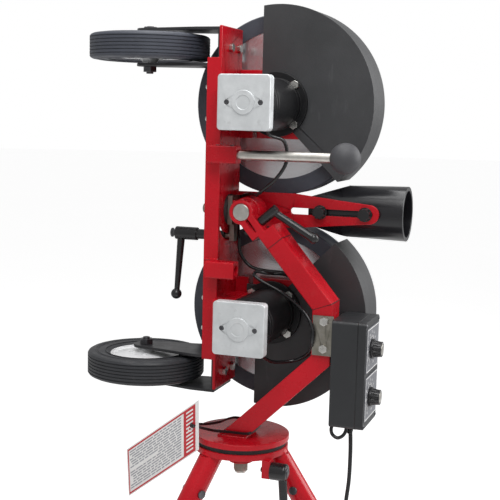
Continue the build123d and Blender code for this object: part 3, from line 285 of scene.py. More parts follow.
MATERIALS = {
    "red_paint": red_paint(),
    "black_guard": black_guard(),
    "motor_black": motor_black(),
    "zinc": zinc(),
    "steel": steel(),
    "dark_steel": dark_steel(),
    "bronze": bronze(),
    "cast_aluminium": cast_aluminium(),
    "machined_aluminium": turned_aluminium("machined_aluminium", WHEELS["upper"]),
    # Tyre rubber base lifted to a light bluish grey: a painted sky sheen on the lit tread. The lower transport
    # tyre gets a darker copy as painted shade.
    "wheel_tyre": rubber("wheel_tyre", (0.036, 0.040, 0.052), (0.40, 0.58)),
    "fork_black": plastic("fork_black", (0.018, 0.018, 0.020), (0.30, 0.44), 0.0014, 0.0001),
    "black_rubber": rubber("black_rubber", (0.014, 0.014, 0.015), dust=0.08),
    "white_hub": plastic("white_hub", (0.70, 0.71, 0.72), (0.14, 0.28), coat=0.5),
    "black_plastic": plastic("black_plastic", (0.010, 0.010, 0.011), (0.16, 0.30)),
    "case_black": plastic("case_black", (0.015, 0.016, 0.018), (0.36, 0.48), 0.0009, 0.00012),
    "lever_black": plastic("lever_black", (0.010, 0.010, 0.011), (0.18, 0.30), 0.0014, 0.0001),
    "dial_grey": plastic("dial_grey", (0.135, 0.138, 0.153), (0.34, 0.46), 0.0008, 0.00003),
    "circuit_green": plastic("circuit_green", (0.03, 0.16, 0.06), (0.3, 0.5)),
    "friction_black": plastic("friction_black", (0.02, 0.02, 0.02), (0.6, 0.8), 0.001, 0.0002),
    "card": card("card", (0.80, 0.79, 0.77)),
}
TUBE_BLACK = plastic("tube_black", (0.009, 0.009, 0.011), (0.14, 0.26), 0.004, 0.00005, (0.06, 1, 1))
GRIP_BLACK = plastic("grip_black", (0.045, 0.045, 0.050), (0.52, 0.66), 0.0012, 0.00010)
CABLE_BLACK = plastic("cable_black", (0.008, 0.008, 0.009), (0.18, 0.30), 0.003, 0.00005)
# Darker copy of the tyre rubber for the lower transport tyre: painted shade on the same rubber.
TYRE_PAINTED_SHADE = rubber("tyre_painted_shade", (0.018, 0.019, 0.022), (0.40, 0.58))
BRIGHT_ZINC = metal("bright_zinc", (0.72, 0.71, 0.68), (0.50, 0.49, 0.46), (0.20, 0.36))
LABEL_RED = card("label_red", (0.55, 0.03, 0.04))
LABEL_GREY = card("label_grey", (0.33, 0.34, 0.37))
LABEL_WHITE = card("label_white", (0.86, 0.85, 0.84))
SEAM_DARK = plastic("seam_dark", (0.05, 0.004, 0.006), (0.4, 0.6))
TURNED = {
    side: turned_aluminium(f"turned_aluminium_{side}", WHEELS[side]) for side in ("upper", "lower")
}


# ------------------------------------------------------------------ CAD nodes: finish and edges
ROUNDED = {
    "column": 1.2, "yoke_frame": 1.6, "handle_sockets": 0.6, "motor_mounts": 0.8,
    "motor_covers": 0.6, "feed_bracket": 0.7, "transport_forks": 0.8,
    "pivot_barrel": 1.2, "pivot_plate": 0.5,
    "control_bracket": 0.6, "control_case": 0.8, "tripod_head": 0.8, "guard_upper": 0.5,
    "guard_lower": 0.5, "feed_tube": 0.5, "flange_bolts": 0.5, "fork_bolts": 0.5,
    "bracket_bolts": 0.6, "leg_bolts": 0.5, "saddle_studs": 0.4, "roll_nuts": 0.6,
    "transport_axles": 0.6, "table_plate": 0.4, "tilt_lever": 0.5, "roll_lever": 0.5,
    "swivel_lever": 0.5, "handle_rod": 0.6, "tilt_shaft": 0.5, "cover_screws": 0.3,
    "socket_screws": 0.3, "leg_feet": 1.2, "spindle_nut": 0.5, "roll_bolt": 0.4,
    "dial_knob_upper": 0.5, "dial_knob_lower": 0.5, "feed_knob_front": 0.5,
    "feed_knob_rear": 0.5, "motor_housings": 0.6,
}
SHARP = math.radians(32)
OWN_FINISH = {
    "feed_tube": TUBE_BLACK, "handle_ball": GRIP_BLACK, "fork_bolts": BRIGHT_ZINC,
    "saddle_studs": BRIGHT_ZINC, "flange_bolts": BRIGHT_ZINC, "bracket_bolts": BRIGHT_ZINC,
    # the lower transport tyre takes the darker rubber copy, which is painted shade
    "roller_tyre_lower": TYRE_PAINTED_SHADE,
}


def finish_nodes():
    """Gives every CAD node its material, and breaks its sharp edges."""
    for part in frame["record"]["subparts"]:
        node = frame["nodes"][part["node"]]
        surface = MATERIALS[part["material_slot"]]
        if part["node"].startswith("hub_"):
            surface = TURNED[part["node"].removeprefix("hub_")]
        surface = OWN_FINISH.get(part["node"], surface)
        node.data.materials.clear()
        node.data.materials.append(surface)
        if part["node"] in ROUNDED:
            weld = node.modifiers.new("weld", "WELD")
            weld.merge_threshold = 0.00001
            bevel = node.modifiers.new("edge", "BEVEL")
            bevel.width = ROUNDED[part["node"]] * MM
            bevel.segments = 2
            bevel.limit_method = "ANGLE"
            bevel.angle_limit = SHARP
            bevel.use_clamp_overlap = False
            bevel.harden_normals = False
            normals = node.modifiers.new("normals", "WEIGHTED_NORMAL")
            normals.keep_sharp = True


# ------------------------------------------------------------------ mesh building
def smooth_path(points, steps=8, closed=False):
    """Catmull-Rom curve through the points."""
    count = len(points)
    spans = count if closed else count - 1
    path = []
    for i in range(spans):
        if closed:
            a, b, c, d = (points[(i + k) % count] for k in (-1, 0, 1, 2))
        else:
            a, b, c, d = (points[min(max(i + k, 0), count - 1)] for k in (-1, 0, 1, 2))
        for step in range(steps):
            t = step / steps
            path.append(
                0.5 * (2 * b + (c - a) * t + (2 * a - 5 * b + 4 * c - d) * t * t
                       + (3 * b - a - 3 * c + d) * t ** 3)
            )
    if not closed:
        path.append(points[-1])
    return path


class Shape:
    """Collects closed mesh shells, which become one piece."""

    def __init__(self):
        self.verts, self.faces = [], []

    def add(self, verts, faces):
        first = len(self.verts)
        self.verts += [tuple(v) for v in verts]
        self.faces += [tuple(first + i for i in face) for face in faces]
        return self

    def sweep(self, path, outline, closed=False, scale=None):
        """Sweeps an outline of (side, up) pairs along a path without twist."""
        count, sides = len(path), len(outline)
        verts, normal = [], None
        for i, point in enumerate(path):
            ahead = path[(i + 1) % count] if closed or i < count - 1 else point
            behind = path[i - 1] if closed or i else point
            way = (ahead - behind).normalized()
            if normal is None:
                normal = way.orthogonal() if abs(way.z) > 0.9 else way.cross(Z)
            normal = (normal - way * normal.dot(way)).normalized()
            up = way.cross(normal)
            grow = scale(i / max(count - 1, 1)) if scale else 1.0
            verts += [point + (normal * a + up * b) * grow for a, b in outline]
        faces = []
        for i in range(count if closed else count - 1):
            here, there = i * sides, (i + 1) % count * sides
            for j in range(sides):
                k = (j + 1) % sides
                faces.append((here + j, here + k, there + k, there + j))
        if not closed:
            faces.append(tuple(reversed(range(sides))))
            faces.append(tuple((count - 1) * sides + j for j in range(sides)))
        return self.add(verts, faces)

    def tube(self, path, radius, sides=14, closed=False, scale=None):
        turn = [2 * math.pi * j / sides for j in range(sides)]
        outline = [(radius * math.cos(a), radius * math.sin(a)) for a in turn]
        return self.sweep(path, outline, closed, scale)

    def ring(self, centre, axis, radius, thick, sides=8, turns=96):
        """Round bead about an axis."""
        across = axis.orthogonal().normalized()
        other = axis.cross(across)
        angles = [2 * math.pi * i / turns for i in range(turns)]
        path = [centre + radius * (across * math.cos(a) + other * math.sin(a)) for a in angles]
        return self.tube(path, thick, sides, closed=True)

    def lathe(self, centre, axis, profile, turns=48):
        """Turns a profile of (radius, height) pairs, whose ends lie on the axis."""
        across = axis.orthogonal().normalized()
        other = axis.cross(across)
        verts = [centre + axis * profile[0][1], centre + axis * profile[-1][1]]
        for radius, height in profile[1:-1]:
            for i in range(turns):
                a = 2 * math.pi * i / turns
                out = across * math.cos(a) + other * math.sin(a)
                verts.append(centre + axis * height + out * radius)
        rows = len(profile) - 2
        faces = []
        for i in range(turns):
            k = (i + 1) % turns
            faces.append((0, 2 + k, 2 + i))
            last = 2 + (rows - 1) * turns
            faces.append((1, last + i, last + k))
            for row in range(rows - 1):
                low, high = 2 + row * turns, 2 + (row + 1) * turns
                faces.append((low + i, low + k, high + k, high + i))
        return self.add(verts, faces)

    def slab(self, corners, thick):
        """Flat plate: a polygon pushed back along thick."""
        count = len(corners)
        verts = list(corners) + [c + thick for c in corners]
        faces = [tuple(range(count)), tuple(reversed(range(count, 2 * count)))]
        for i in range(count):
            k = (i + 1) % count
            faces.append((i, count + i, count + k, k))
        return self.add(verts, faces)

    def bar(self, centre, along, across, up, sizes):
        """Block about a centre, with its three directions and sizes."""
        a, b, c = (d * s / 2 for d, s in zip((along, across, up), sizes))
        corners = [centre - a - b - c, centre + a - b - c, centre + a + b - c, centre - a + b - c]
        return self.slab(corners, 2 * c)

    def text(self, words, centre, right, up, size, depth):
        """Raised numerals centred on a point."""
        curve = bpy.data.curves.new("numeral", "FONT")
        curve.body, curve.size, curve.extrude = words, size, depth / 2
        curve.align_x = curve.align_y = "CENTER"
        curve.resolution_u = 3
        holder = bpy.data.objects.new("numeral", curve)
        bpy.context.scene.collection.objects.link(holder)
        bpy.context.view_layer.update()
        mesh = bpy.data.meshes.new_from_object(holder.evaluated_get(
            bpy.context.evaluated_depsgraph_get()))
        out = right.cross(up)
        verts = [centre + right * v.co.x + up * v.co.y + out * v.co.z for v in mesh.vertices]
        self.add(verts, [tuple(p.vertices) for p in mesh.polygons])
        bpy.data.objects.remove(holder)
        return self

    def make(self, name, surface, smooth=35.0, rounded=0.0):
        mesh = bpy.data.meshes.new(name)
        mesh.from_pydata(self.verts, [], self.faces)
        clean = bmesh.new()
        clean.from_mesh(mesh)
        bmesh.ops.remove_doubles(clean, verts=clean.verts, dist=1e-7)
        bmesh.ops.recalc_face_normals(clean, faces=clean.faces)
        clean.to_mesh(mesh)
        clean.free()
        mesh.materials.append(surface)
        for face in mesh.polygons:
            face.use_smooth = True
        mesh.set_sharp_from_angle(angle=math.radians(smooth))
        piece = bpy.data.objects.new(name, mesh)
        bpy.context.scene.collection.objects.link(piece)
        if rounded:
            bevel = piece.modifiers.new("edge", "BEVEL")
            bevel.width, bevel.segments = rounded, 2
            bevel.limit_method, bevel.angle_limit = "ANGLE", SHARP
        return piece


def fit(piece, body):
    """Sets a finished piece on its body."""
    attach(piece, body)
    return piece


# ------------------------------------------------------------------ cables and cords
CABLE_R, CORD_R = 2.9 * MM, 3.4 * MM
CABLE_STEPS = 10


def cable(name, points, bodies):
    """Soft round cable; with one body it rides on that body, with two it stays where it is laid, on neither."""
    return lay(name, smooth_path([at(*p) for p in points], CABLE_STEPS), bodies)


def lay(name, path, bodies):
    """Cable along a ready path."""
    piece = Shape().tube(path, CABLE_R).make(name, CABLE_BLACK)
    if len(bodies) == 1:
        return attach(piece, bodies[0])
    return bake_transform(piece)


def motor_cables():
    """Each motor's cable runs past the pivot, then behind the yoke to the control box."""
    upper = [(62, -92, 522), (60, -75, 506), (72, -40, 497), (76, -30, 478), (73, -30, 456),
             (57, -30, 433), (38, -26, 417), (22, -18, 406)]
    cable("motor_cable_upper", upper, ("head", "carrier"))
    past = [(22, -18, 406), (-6, 18, 404), (-27, 32, 392), (-26, 30, 352), (-20, 20, 329)]
    cable("motor_cable_pivot", past, ("carrier",))
    down = [(-20, 20, 329), (-18, 20, 306), (-5, 20, 287), (15, 20, 278), (58, 24, 275)]
    cable("motor_cable_tail", down, ("carrier", "turntable"))
    behind = [(58, 24, 275), (100, 30, 262), (128, 32, 225), (152, 30, 190), (167, 30, 176)]
    cable("motor_cable_box_upper", behind, ("turntable",))
    second = [(60, 34, 270), (100, 38, 252), (128, 40, 215), (150, 38, 170), (167, 36, 150)]
    cable("motor_cable_box_lower", second, ("turntable",))
    hairpin = [(19, -10, 276), (25, -10, 279), (40, -8, 277), (56, 20, 273), (60, 34, 270)]
    cable("motor_cable_hairpin", hairpin, ("carrier", "turntable"))
    lower = [(62, -92, 161), (58, -70, 150), (66, -40, 136), (86, -16, 134), (104, -14, 140),
             (125, -30, 157), (133, -47, 179), (131, -46, 202), (114, -38, 224),
             (72, -12, 245), (33, -10, 263), (20, -10, 271), (19, -10, 276)]
    path = smooth_path([at(*p) for p in lower], CABLE_STEPS)
    # the pieces of one cable: name, last point of the path it covers, and the bodies given for it
    start = 0
    for name, end, bodies in (
        ("motor_cable_lower", 3, ("head", "carrier")),
        ("motor_cable_slack", 5, ("carrier", "turntable")),
        ("motor_cable_loop", 8, ("turntable",)),
        ("motor_cable_return", 12, ("turntable", "carrier")),
    ):
        lay(name, path[CABLE_STEPS * start:CABLE_STEPS * end + 1], bodies)
        start = end


def gland(name, centre, axis, body, radius=7.5 * MM):
    """Ribbed strain relief where a cable enters a box."""
    profile = [(0, 0), (radius, 0), (radius, 3 * MM)]
    for i in range(4):
        low = (3.6 + 2.6 * i) * MM
        size = radius * (0.80 - 0.07 * i)
        profile += [(size * 0.84, low), (size, low + 0.5 * MM), (size, low + 1.7 * MM)]
    profile += [(size * 0.8, 14.4 * MM), (0, 14.4 * MM)]
    fit(Shape().lathe(centre, axis, profile, 32).make(name, CABLE_BLACK), body)


def box_cables():
    """Short loop under the control box, and the mains cord with its plug."""
    loop = [(160, -38, 42), (159, -40, 34), (161.5, -40, 26), (170, -40, 21.5), (178.5, -38, 26),
            (182, -34, 34), (182, -32, 44)]
    path = smooth_path([at(x + 8, y + 2, z) for x, y, z in loop], CABLE_STEPS)
    piece = Shape().tube(path, CABLE_R).make("control_loop", CABLE_BLACK)
    fit(piece, "turntable")
    entry = at(194, -22, 0)
    entry.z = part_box("control_case")[0].z
    gland("mains_gland", entry, -Z, "turntable", 8 * MM)
    cord = [(194, -22, 40), (196, -23, 20), (197, -24, -10), (196.5, -25, -50), (194, -27, -80),
            (193, -28, -97)]
    shape = Shape().tube(smooth_path([at(*p) for p in cord], CABLE_STEPS), CORD_R, 16)
    # plug: a tapered neck, a rounded body and three pins
    base = at(193, -28, -97)
    stages = ((0, 4.2, 4.2), (3, 5.4, 5.0), (10, 6.4, 5.4), (13, 12.6, 7.6), (17, 14.2, 9.0),
              (30, 14.6, 9.4), (33, 14.0, 8.8), (34, 12.6, 7.6))
    sides = 32
    verts = []
    for drop, wide, deep in stages:
        for j in range(sides):
            a = 2 * math.pi * j / sides
            ca, sa = math.cos(a), math.sin(a)
            x = wide * math.copysign(abs(ca) ** 0.55, ca)
            y = deep * math.copysign(abs(sa) ** 0.55, sa)
            verts.append(base + Vector((x, y, -drop)) * MM)
    faces = [tuple(reversed(range(sides)))]
    for i in range(len(stages) - 1):
        for j in range(sides):
            k = (j + 1) % sides
            here, there = i * sides, (i + 1) * sides
            faces.append((here + j, here + k, there + k, there + j))
    faces.append(tuple((len(stages) - 1) * sides + j for j in range(sides)))
    shape.add(verts, faces)
    cord_piece = shape.make("mains_cord_and_plug", CABLE_BLACK, 50)
    fit(cord_piece, "turntable")
    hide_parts("mains_cord")
    pins = Shape()
    for side in (-1, 1):
        pins.bar(base + Vector((6.3 * side, -1, -38)) * MM, X, Y, Z, (1.5 * MM, 6.3 * MM, 9 * MM))
    pins.tube([base + Vector((0, 4.5, z)) * MM for z in (-33.5, -38, -42)], 2.2 * MM, 16)
    fit(pins.make("plug_pins", MATERIALS["bronze"], rounded=0.3 * MM), "turntable")


# ------------------------------------------------------------------ hang tag
def hang_tag():
    """Laminated card on a cable tie: red border, red side strip and plain grey lines."""
    corners = [at(-48, -79.5, 69), at(-178, -79.5, -32), at(-173, -79.5, -114), at(-46, -79.5, -15)]

    def place(u, v, lift=0.0):
        """Point of the card: u from its right edge to its left, v from its top edge down."""
        top = corners[0].lerp(corners[1], u)
        low = corners[3].lerp(corners[2], u)
        bow = 5.0 * MM * math.sin(math.pi * u) * (0.6 + 0.4 * v)
        return top.lerp(low, v) + Y * (bow * -0.8 - lift * MM)

    def patch(shape, u0, u1, v0, v1, lift, cells=24):
        """Thin sheet that follows the bow of the card."""
        across = max(1, round(cells * (u1 - u0)))
        verts, faces = [], []
        for deep in (0.0, 0.25):
            for i in range(across + 1):
                u = u0 + (u1 - u0) * i / across
                verts += [place(u, v0, lift - deep), place(u, v1, lift - deep)]
        half = 2 * (across + 1)
        for i in range(across):
            a = 2 * i
            faces.append((a, a + 1, a + 3, a + 2))
            faces.append((half + a, half + a + 2, half + a + 3, half + a + 1))
            faces.append((a, a + 2, half + a + 2, half + a))
            faces.append((a + 1, half + a + 1, half + a + 3, a + 3))
        last = 2 * across
        faces.append((0, half, half + 1, 1))
        faces.append((last, last + 1, half + last + 1, half + last))
        shape.add(verts, faces)

    sheet = Shape()
    patch(sheet, 0, 1, 0, 1, 0.0)
    sheet_piece = fit(sheet.make("tag_sheet", LABEL_WHITE), "turntable")
    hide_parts("hang_tag")
    border = Shape()
    patch(border, 0.045, 0.20, 0.03, 0.97, 0.3)
    patch(border, 0.20, 0.985, 0.03, 0.065, 0.3)
    patch(border, 0.20, 0.985, 0.935, 0.97, 0.3)
    patch(border, 0.972, 0.985, 0.065, 0.935, 0.3)
    fit(border.make("tag_border", LABEL_RED), "turntable")
    # pale bars on the red strip
    marks = Shape()
    for i in range(11):
        v = 0.09 + 0.078 * i
        patch(marks, 0.075, 0.165, v, v + 0.034, 0.5, 8)
    fit(marks.make("tag_strip_marks", LABEL_WHITE), "turntable")
    lines = Shape()
    chance = random.Random(4)
    for row in range(15):
        v = 0.10 + row * 0.054
        u = 0.235
        while u < 0.93:
            wide = chance.uniform(0.03, 0.12)
            end = min(u + wide, 0.955)
            if not (row == 7 and u > 0.5):
                patch(lines, u, end, v, v + 0.024, 0.3, 16)
            u = end + 0.014
    fit(lines.make("tag_grey_lines", LABEL_GREY), "turntable")
    eyelet = Shape().ring(place(0.115, 0.47, 0.6), Y, 3.2 * MM, 0.9 * MM, 8, 32)
    fit(eyelet.make("tag_eyelet", LABEL_WHITE), "turntable")


def cable_tie():
    """Black tie through the card's hole and round the foot of the yoke."""
    loop = [(-59, -84, 25), (-52, -78, 23), (-40, -62, 16), (-29, -47, 10), (-6, -42, 9.5),
            (22, -42, 10), (31, -36, 12), (33, -10, 14), (31, 10, 15), (20, 17, 16),
            (-6, 18, 17), (-19, 14, 18), (-25, -5, 19.5), (-28, -30, 21), (-40, -60, 24),
            (-54, -77, 27), (-60, -80, 27)]
    path = smooth_path([at(*p) for p in loop], 8, closed=True)
    band = [(-0.7 * MM, -2.3 * MM), (0.7 * MM, -2.3 * MM), (0.7 * MM, 2.3 * MM), (-0.7 * MM, 2.3 * MM)]
    shape = Shape().sweep(path, band, closed=True)
    shape.bar(at(-57, -84.5, 26), X, Y, Z, (6 * MM, 4 * MM, 5 * MM))
    fit(shape.make("cable_tie", CABLE_BLACK, rounded=0.25 * MM), "turntable")


# ------------------------------------------------------------------ control box details
def dial_faces():
    """Scale, pointer line and numerals 0 to 10 round each knob."""
    face_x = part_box("dial_plates")[1].x
    for side in ("upper", "lower"):
        centre = Vector(JOINTS[f"dial_{side}_turn"]["pos_m"])
        centre.x = face_x
        scale, rim = Shape(), Shape()
        for step in range(51):
            a = math.radians(-150 + 6 * step)
            way = -Y * -math.sin(a) + Z * math.cos(a)
            major = step % 5 == 0
            reach = (23.4 if major else 21.8) * MM
            mid = centre + way * (19.0 * MM + reach) / 2 + X * 0.10 * MM
            size = (reach - 19.0 * MM, (0.8 if major else 0.4) * MM, 0.3 * MM)
            scale.bar(mid, way, X.cross(way), X, size)
            if major:
                place = centre + way * 28.0 * MM + X * 0.15 * MM
                scale.text(str(step // 5), place, Y, Z, 6.2 * MM, 0.3 * MM)
        fit(scale.make(f"dial_scale_{side}", LABEL_WHITE), "turntable")
        middle_y = (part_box("dial_plates")[0].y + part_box("dial_plates")[1].y) / 2
        frame_mid = Vector((face_x, middle_y, centre.z))
        wide, tall = 39.0 * MM, 34.0 * MM
        for sign in (-1, 1):
            rim.bar(frame_mid + Z * sign * tall, Y, Z, X, (2 * wide, 1.2 * MM, 0.4 * MM))
            rim.bar(frame_mid + Y * sign * wide, Z, Y, X, (2 * tall, 1.2 * MM, 0.4 * MM))
        fit(rim.make(f"dial_frame_{side}", LABEL_WHITE), "turntable")
        knob = f"dial_knob_{side}"
        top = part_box(knob)[1].x
        pointer = Shape().bar(
            Vector((top, centre.y, centre.z)) + Z * 6.0 * MM, Z, Y, X, (9 * MM, 1.3 * MM, 0.5 * MM))
        fit(pointer.make(f"dial_pointer_{side}", LABEL_WHITE), f"dial_{side}")
        cap = Vector((top - 0.2 * MM, centre.y, centre.z))
        disc = [(0, 0), (8.6 * MM, 0), (8.6 * MM, 0.5 * MM), (8.0 * MM, 0.8 * MM), (0, 0.8 * MM)]
        fit(Shape().lathe(cap, X, disc).make(f"dial_cap_{side}", MATERIALS["steel"]),
            f"dial_{side}")


def rounded_loop(x, low, high, radius, grow):
    """Rounded rectangle in a plane of constant x, round a box's Y and Z extents."""
    path = []
    reach = radius + grow
    centres = ((high.y - radius, high.z - radius, 0), (low.y + radius, high.z - radius, 90),
               (low.y + radius, low.z + radius, 180), (high.y - radius, low.z + radius, 270))
    for cy, cz, first in centres:
        for step in range(7):
            a = math.radians(first + 15 * step)
            path.append(Vector((x, cy + reach * math.cos(a), cz + reach * math.sin(a))))
    return path


def control_box_details():
    """Lid gasket and lid screws of the control box."""
    low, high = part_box("control_case")
    gasket = Shape().tube(rounded_loop(high.x - 13 * MM, low, high, 6 * MM, 0.0), 0.7 * MM, 6, True)
    fit(gasket.make("case_gasket", CABLE_BLACK), "turntable")
    screws = Shape()
    for y in (low.y + 5.5 * MM, high.y - 5.5 * MM):
        for z in (low.z + 5.5 * MM, high.z - 5.5 * MM):
            head = [(0, 0), (3.1 * MM, 0), (3.1 * MM, 0.7 * MM), (2.4 * MM, 1.3 * MM),
                    (1.2 * MM, 1.5 * MM), (1.2 * MM, 0.8 * MM), (0, 0.8 * MM)]
            screws.lathe(Vector((high.x - 0.1 * MM, y, z)), X, head, 24)
    fit(screws.make("case_screws", MATERIALS["dark_steel"]), "turntable")


# ------------------------------------------------------------------ welds, seams and small fittings
def weld(shape, points, radius=2.4 * MM, closed=False):
    """Rippled weld bead along straight stretches between points."""
    path = []
    ends = list(points) + ([points[0]] if closed else [])
    for a, b in zip(ends, ends[1:]):
        steps = max(2, round((b - a).length / (1.6 * MM)))
        path += [a.lerp(b, i / steps) for i in range(steps)]
    if not closed:
        path.append(ends[-1])
    count = len(path)
    ripple = lambda t: 1.0 + 0.13 * math.sin(t * count * 1.9) + 0.05 * math.sin(t * count * 0.73)
    return shape.tube(path, radius, 10, closed, ripple)


def welds():
    """Weld beads where the painted steel pieces meet."""
    low, high = at(-27, -38, 0.6), at(18.8, 13, 0.6)
    foot = Shape()
    corners = [low, Vector((high.x, low.y, low.z)), high, Vector((low.x, high.y, low.z))]
    weld(foot, corners, 2.8 * MM, closed=True)
    fit(foot.make("yoke_foot_weld", MATERIALS["red_paint"], 60), "turntable")
    beads = Shape()
    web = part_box("column")[1].x
    for sign in (-1, 1):
        z = PIVOT.z + sign * 94 * MM
        y = SWIVEL.y + (-53.5 + 12.5) * MM
        for side in (-1, 1):
            edge = z + side * 14 * MM
            weld(beads, [Vector((web - 22 * MM, y, edge)), Vector((web, y, edge))], 2.2 * MM)
        weld(beads, [Vector((web, y, z - 14 * MM)), Vector((web, y, z + 14 * MM))], 2.4 * MM)
    fit(beads.make("socket_welds", MATERIALS["red_paint"], 60), "head")
    plate = Shape()
    low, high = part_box("feed_bracket")
    y = SWIVEL.y + 34 * MM
    for z in (low.z, high.z):
        weld(plate, [Vector((web, y, z)), Vector((web, y + 14 * MM, z))], 2.2 * MM)
    fit(plate.make("feed_bracket_welds", MATERIALS["red_paint"], 60), "head")


ARM_WAY = Vector((0.645, 0, -0.764))
ARM_UP = Vector((0.764, 0, 0.645))


def seams():
    """Dark joint lines on the yoke, at the clamp block and at the elbow."""
    face, back = SWIVEL.y - 38 * MM, SWIVEL.y + 13 * MM
    lines = Shape()

    def band(inner, outer, proud=0.25 * MM, wide=1.3 * MM):
        way = (outer - inner).normalized()
        a, b = inner - way * proud, outer + way * proud
        loop = [Vector((a.x, face - proud, a.z)), Vector((b.x, face - proud, b.z)),
                Vector((b.x, back + proud, b.z)), Vector((a.x, back + proud, a.z))]
        lines.sweep(loop, [(-wide / 2, -0.3 * MM), (wide / 2, -0.3 * MM), (wide / 2, 0.3 * MM),
                           (-wide / 2, 0.3 * MM)], closed=True)

    joint = PIVOT + ARM_WAY * 75 * MM + ARM_UP * 15.1 * MM
    band(joint - ARM_UP * 16.1 * MM, joint + ARM_UP * 16.1 * MM)
    band(at(128.5, 0, 227.3), at(160.5, 0, 239.1))
    fit(lines.make("yoke_seams", SEAM_DARK), "turntable")


def motor_details():
    """Raised bands round each motor body, and vent slots round its rear end."""
    for side in ("upper", "lower"):
        centre = Vector(JOINTS[f"spin_{side}"]["pos_m"])
        rings = Shape()
        low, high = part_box("motor_housings")
        for y, thick in ((low.y + 15 * MM, 0.9), (low.y + 27 * MM, 0.7), (high.y - 22 * MM, 0.9)):
            rings.ring(Vector((centre.x, y, centre.z)), Y, 43.4 * MM, thick * MM)
        fit(rings.make(f"motor_bands_{side}", MATERIALS["motor_black"]), "head")
        vents = Shape()
        for i in range(12):
            a = math.radians(30 * i + 15)
            out = X * math.cos(a) + Z * math.sin(a)
            mid = Vector((centre.x, low.y + 7.5 * MM, centre.z)) + out * 43.3 * MM
            vents.bar(mid, Y, Y.cross(out), out, (9 * MM, 3.2 * MM, 0.9 * MM))
        fit(vents.make(f"motor_vents_{side}", CABLE_BLACK, rounded=0.2 * MM), "head")


def tyre_details():
    """Sidewall ribs on the transport tyres, and a rim and five bosses on each face of their hubs."""
    for side in ("upper", "lower"):
        centre = ROLLERS[side]
        low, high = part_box(f"roller_tyre_{side}")
        half = (high.z - low.z) / 2
        ribs = Shape()
        for sign in (-1, 1):
            for radius, inset in ((88, 0.1), (84.5, 0.25), (71, 0.9)):
                ribs.ring(centre + Z * sign * (half - inset * MM), Z, radius * MM, 0.8 * MM)
        # the ribs take their tyre's rubber; on the lower tyre this is the darker copy, painted shade
        finish = OWN_FINISH.get(f"roller_tyre_{side}", MATERIALS["wheel_tyre"])
        body = f"transport_wheel_{side}"
        fit(ribs.make(f"tyre_ribs_{side}", finish), body)
        rims = Shape()
        for sign in (-1, 1):
            rims.ring(centre + Z * sign * (half - 6.2 * MM), Z, 61.0 * MM, 1.5 * MM)
            for i in range(5):
                a = 2 * math.pi * i / 5
                out = X * math.cos(a) + Y * math.sin(a)
                spot = centre + out * 27 * MM + Z * sign * (half - 3.2 * MM)
                rims.tube([spot - Z * sign * 2 * MM, spot, spot + Z * sign * 1.2 * MM], 3.6 * MM, 20)
        fit(rims.make(f"hub_rims_{side}", MATERIALS["white_hub"]), body)


CAP_R = 11 * MM
SWIVEL_CAP_X = 98 * MM


def lever_details():
    """Caps on the hubs of the roll and swivel locking levers."""
    def collar(name, centre, axis, radius, body):
        profile = [(0, -1.2 * MM), (radius * 0.72, -1.2 * MM), (radius * 0.72, 0.6 * MM),
                   (radius * 0.6, 1.4 * MM), (radius * 0.25, 1.9 * MM), (0, 1.9 * MM)]
        cap = Shape().lathe(centre, axis, profile).make(name, MATERIALS["dark_steel"])
        fit(cap, body)

    roll = Vector(JOINTS["roll_lock"]["pos_m"])
    roll.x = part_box("roll_lever")[0].x
    collar("roll_lever_cap", roll, -X, CAP_R, "roll_handle")
    swivel = Vector(JOINTS["swivel_lock"]["pos_m"])
    swivel.x = SWIVEL.x + SWIVEL_CAP_X
    collar("swivel_lever_cap", swivel, X, CAP_R, "swivel_handle")


LEG_ANGLES = (0, 145, 240)
LEG_SPLAY = math.radians(33.6)
FOOT_REACH = 609.4 * MM


def foot_treads():
    """Moulded ribs round each rubber foot."""
    ribs = Shape()
    for angle in map(math.radians, LEG_ANGLES):
        out = X * math.cos(angle) + Y * math.sin(angle)
        way = out * math.sin(LEG_SPLAY) - Z * math.cos(LEG_SPLAY)
        ground = Vector((SWIVEL.x, SWIVEL.y, 0)) + out * FOOT_REACH
        for back in (34, 42, 50):
            ribs.ring(ground - way * back * MM, way, 25.0 * MM, 1.3 * MM, 8, 48)
    fit(ribs.make("foot_ribs", MATERIALS["black_rubber"]), "tripod")


# ------------------------------------------------------------------ stage, light and camera
SKY_LIGHT = 0.46
FLOOR_GLOW = 0.56


def camera_rays(tree):
    """1 where the camera sees a surface directly, 0 for its light and reflections."""
    return tree.nodes.new("ShaderNodeLightPath").outputs["Is Camera Ray"]


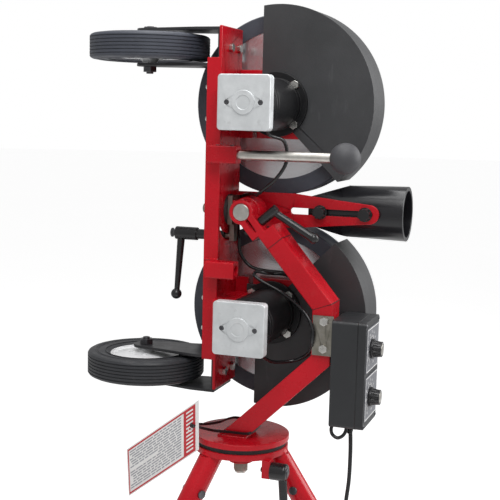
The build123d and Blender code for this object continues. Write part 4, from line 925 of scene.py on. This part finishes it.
def stage():
    """Pale floor, white surround and soft studio light."""
    n = Nodes("floor")
    n.bump((n.noise(0.01, 3), 0.0001))
    tone = n.mix(n.noise(1.5, 3), (0.88, 0.88, 0.88), (0.91, 0.91, 0.91))
    glow = n.math("MULTIPLY", camera_rays(n.tree), FLOOR_GLOW)
    n.finish(tone, 0.8, Emission_Color=(1.0, 1.0, 1.0, 1.0), Emission_Strength=glow)
    bpy.ops.mesh.primitive_circle_add(vertices=96, radius=40, fill_type="NGON")
    floor = bpy.context.object
    floor.name = "studio_floor"
    floor.data.materials.append(n.mat)
    world = bpy.data.worlds.new("studio")
    bpy.context.scene.world = world
    world.use_nodes = True
    background = world.node_tree.nodes["Background"]
    background.inputs["Color"].default_value = (1.0, 1.0, 1.0, 1.0)
    strength = world.node_tree.nodes.new("ShaderNodeMapRange")
    strength.inputs["To Min"].default_value = SKY_LIGHT
    world.node_tree.links.new(camera_rays(world.node_tree), strength.inputs["Value"])
    world.node_tree.links.new(strength.outputs["Result"], background.inputs["Strength"])
    bpy.context.scene.view_settings.view_transform = "Standard"
    target = Vector((SWIVEL.x, SWIVEL.y, PIVOT.z))
    for name, offset, size, power in (
        ("key", (0.45, -1.05, 1.4), 1.2, 23.0),
        ("edge", (2.3, 1.3, 0.9), 1.8, 60.0),
        ("top", (-0.3, 0.2, 2.2), 1.6, 30.0),
    ):
        lamp = bpy.data.lights.new(name, "AREA")
        lamp.size = size
        lamp.energy = power
        light = bpy.data.objects.new(name, lamp)
        light.location = target + Vector(offset)
        light.rotation_euler = (target - light.location).to_track_quat("-Z", "Y").to_euler()
        bpy.context.scene.collection.objects.link(light)


CAMERA_AT = (575.8, -1638.9, 530.4)
CAMERA_TURN = (19.14, 7.16, 1.45)
LENS, SENSOR = 75.39, 36.0


def camera():
    """Camera a little right of the motors' side, looking slightly down."""
    yaw, pitch, roll = (math.radians(a) for a in CAMERA_TURN)
    ahead = Vector((-math.sin(yaw), math.cos(yaw), 0))
    right = Vector((math.cos(yaw), math.sin(yaw), 0))
    look = ahead * math.cos(pitch) - Z * math.sin(pitch)
    up = Z * math.cos(pitch) + ahead * math.sin(pitch)
    across = right * math.cos(roll) + up * math.sin(roll)
    upward = up * math.cos(roll) - right * math.sin(roll)
    lens = bpy.data.cameras.new("camera")
    lens.lens = LENS
    lens.sensor_width = SENSOR
    view = bpy.data.objects.new("camera", lens)
    turn = Matrix((across, upward, -look)).transposed().to_4x4()
    view.matrix_world = Matrix.Translation(at(*CAMERA_AT)) @ turn
    bpy.context.scene.collection.objects.link(view)
    bpy.context.scene.camera = view


finish_nodes()
motor_cables()
box_cables()
hang_tag()
cable_tie()
dial_faces()
control_box_details()
welds()
seams()
motor_details()
tyre_details()
lever_details()
foot_treads()
stage()
camera()
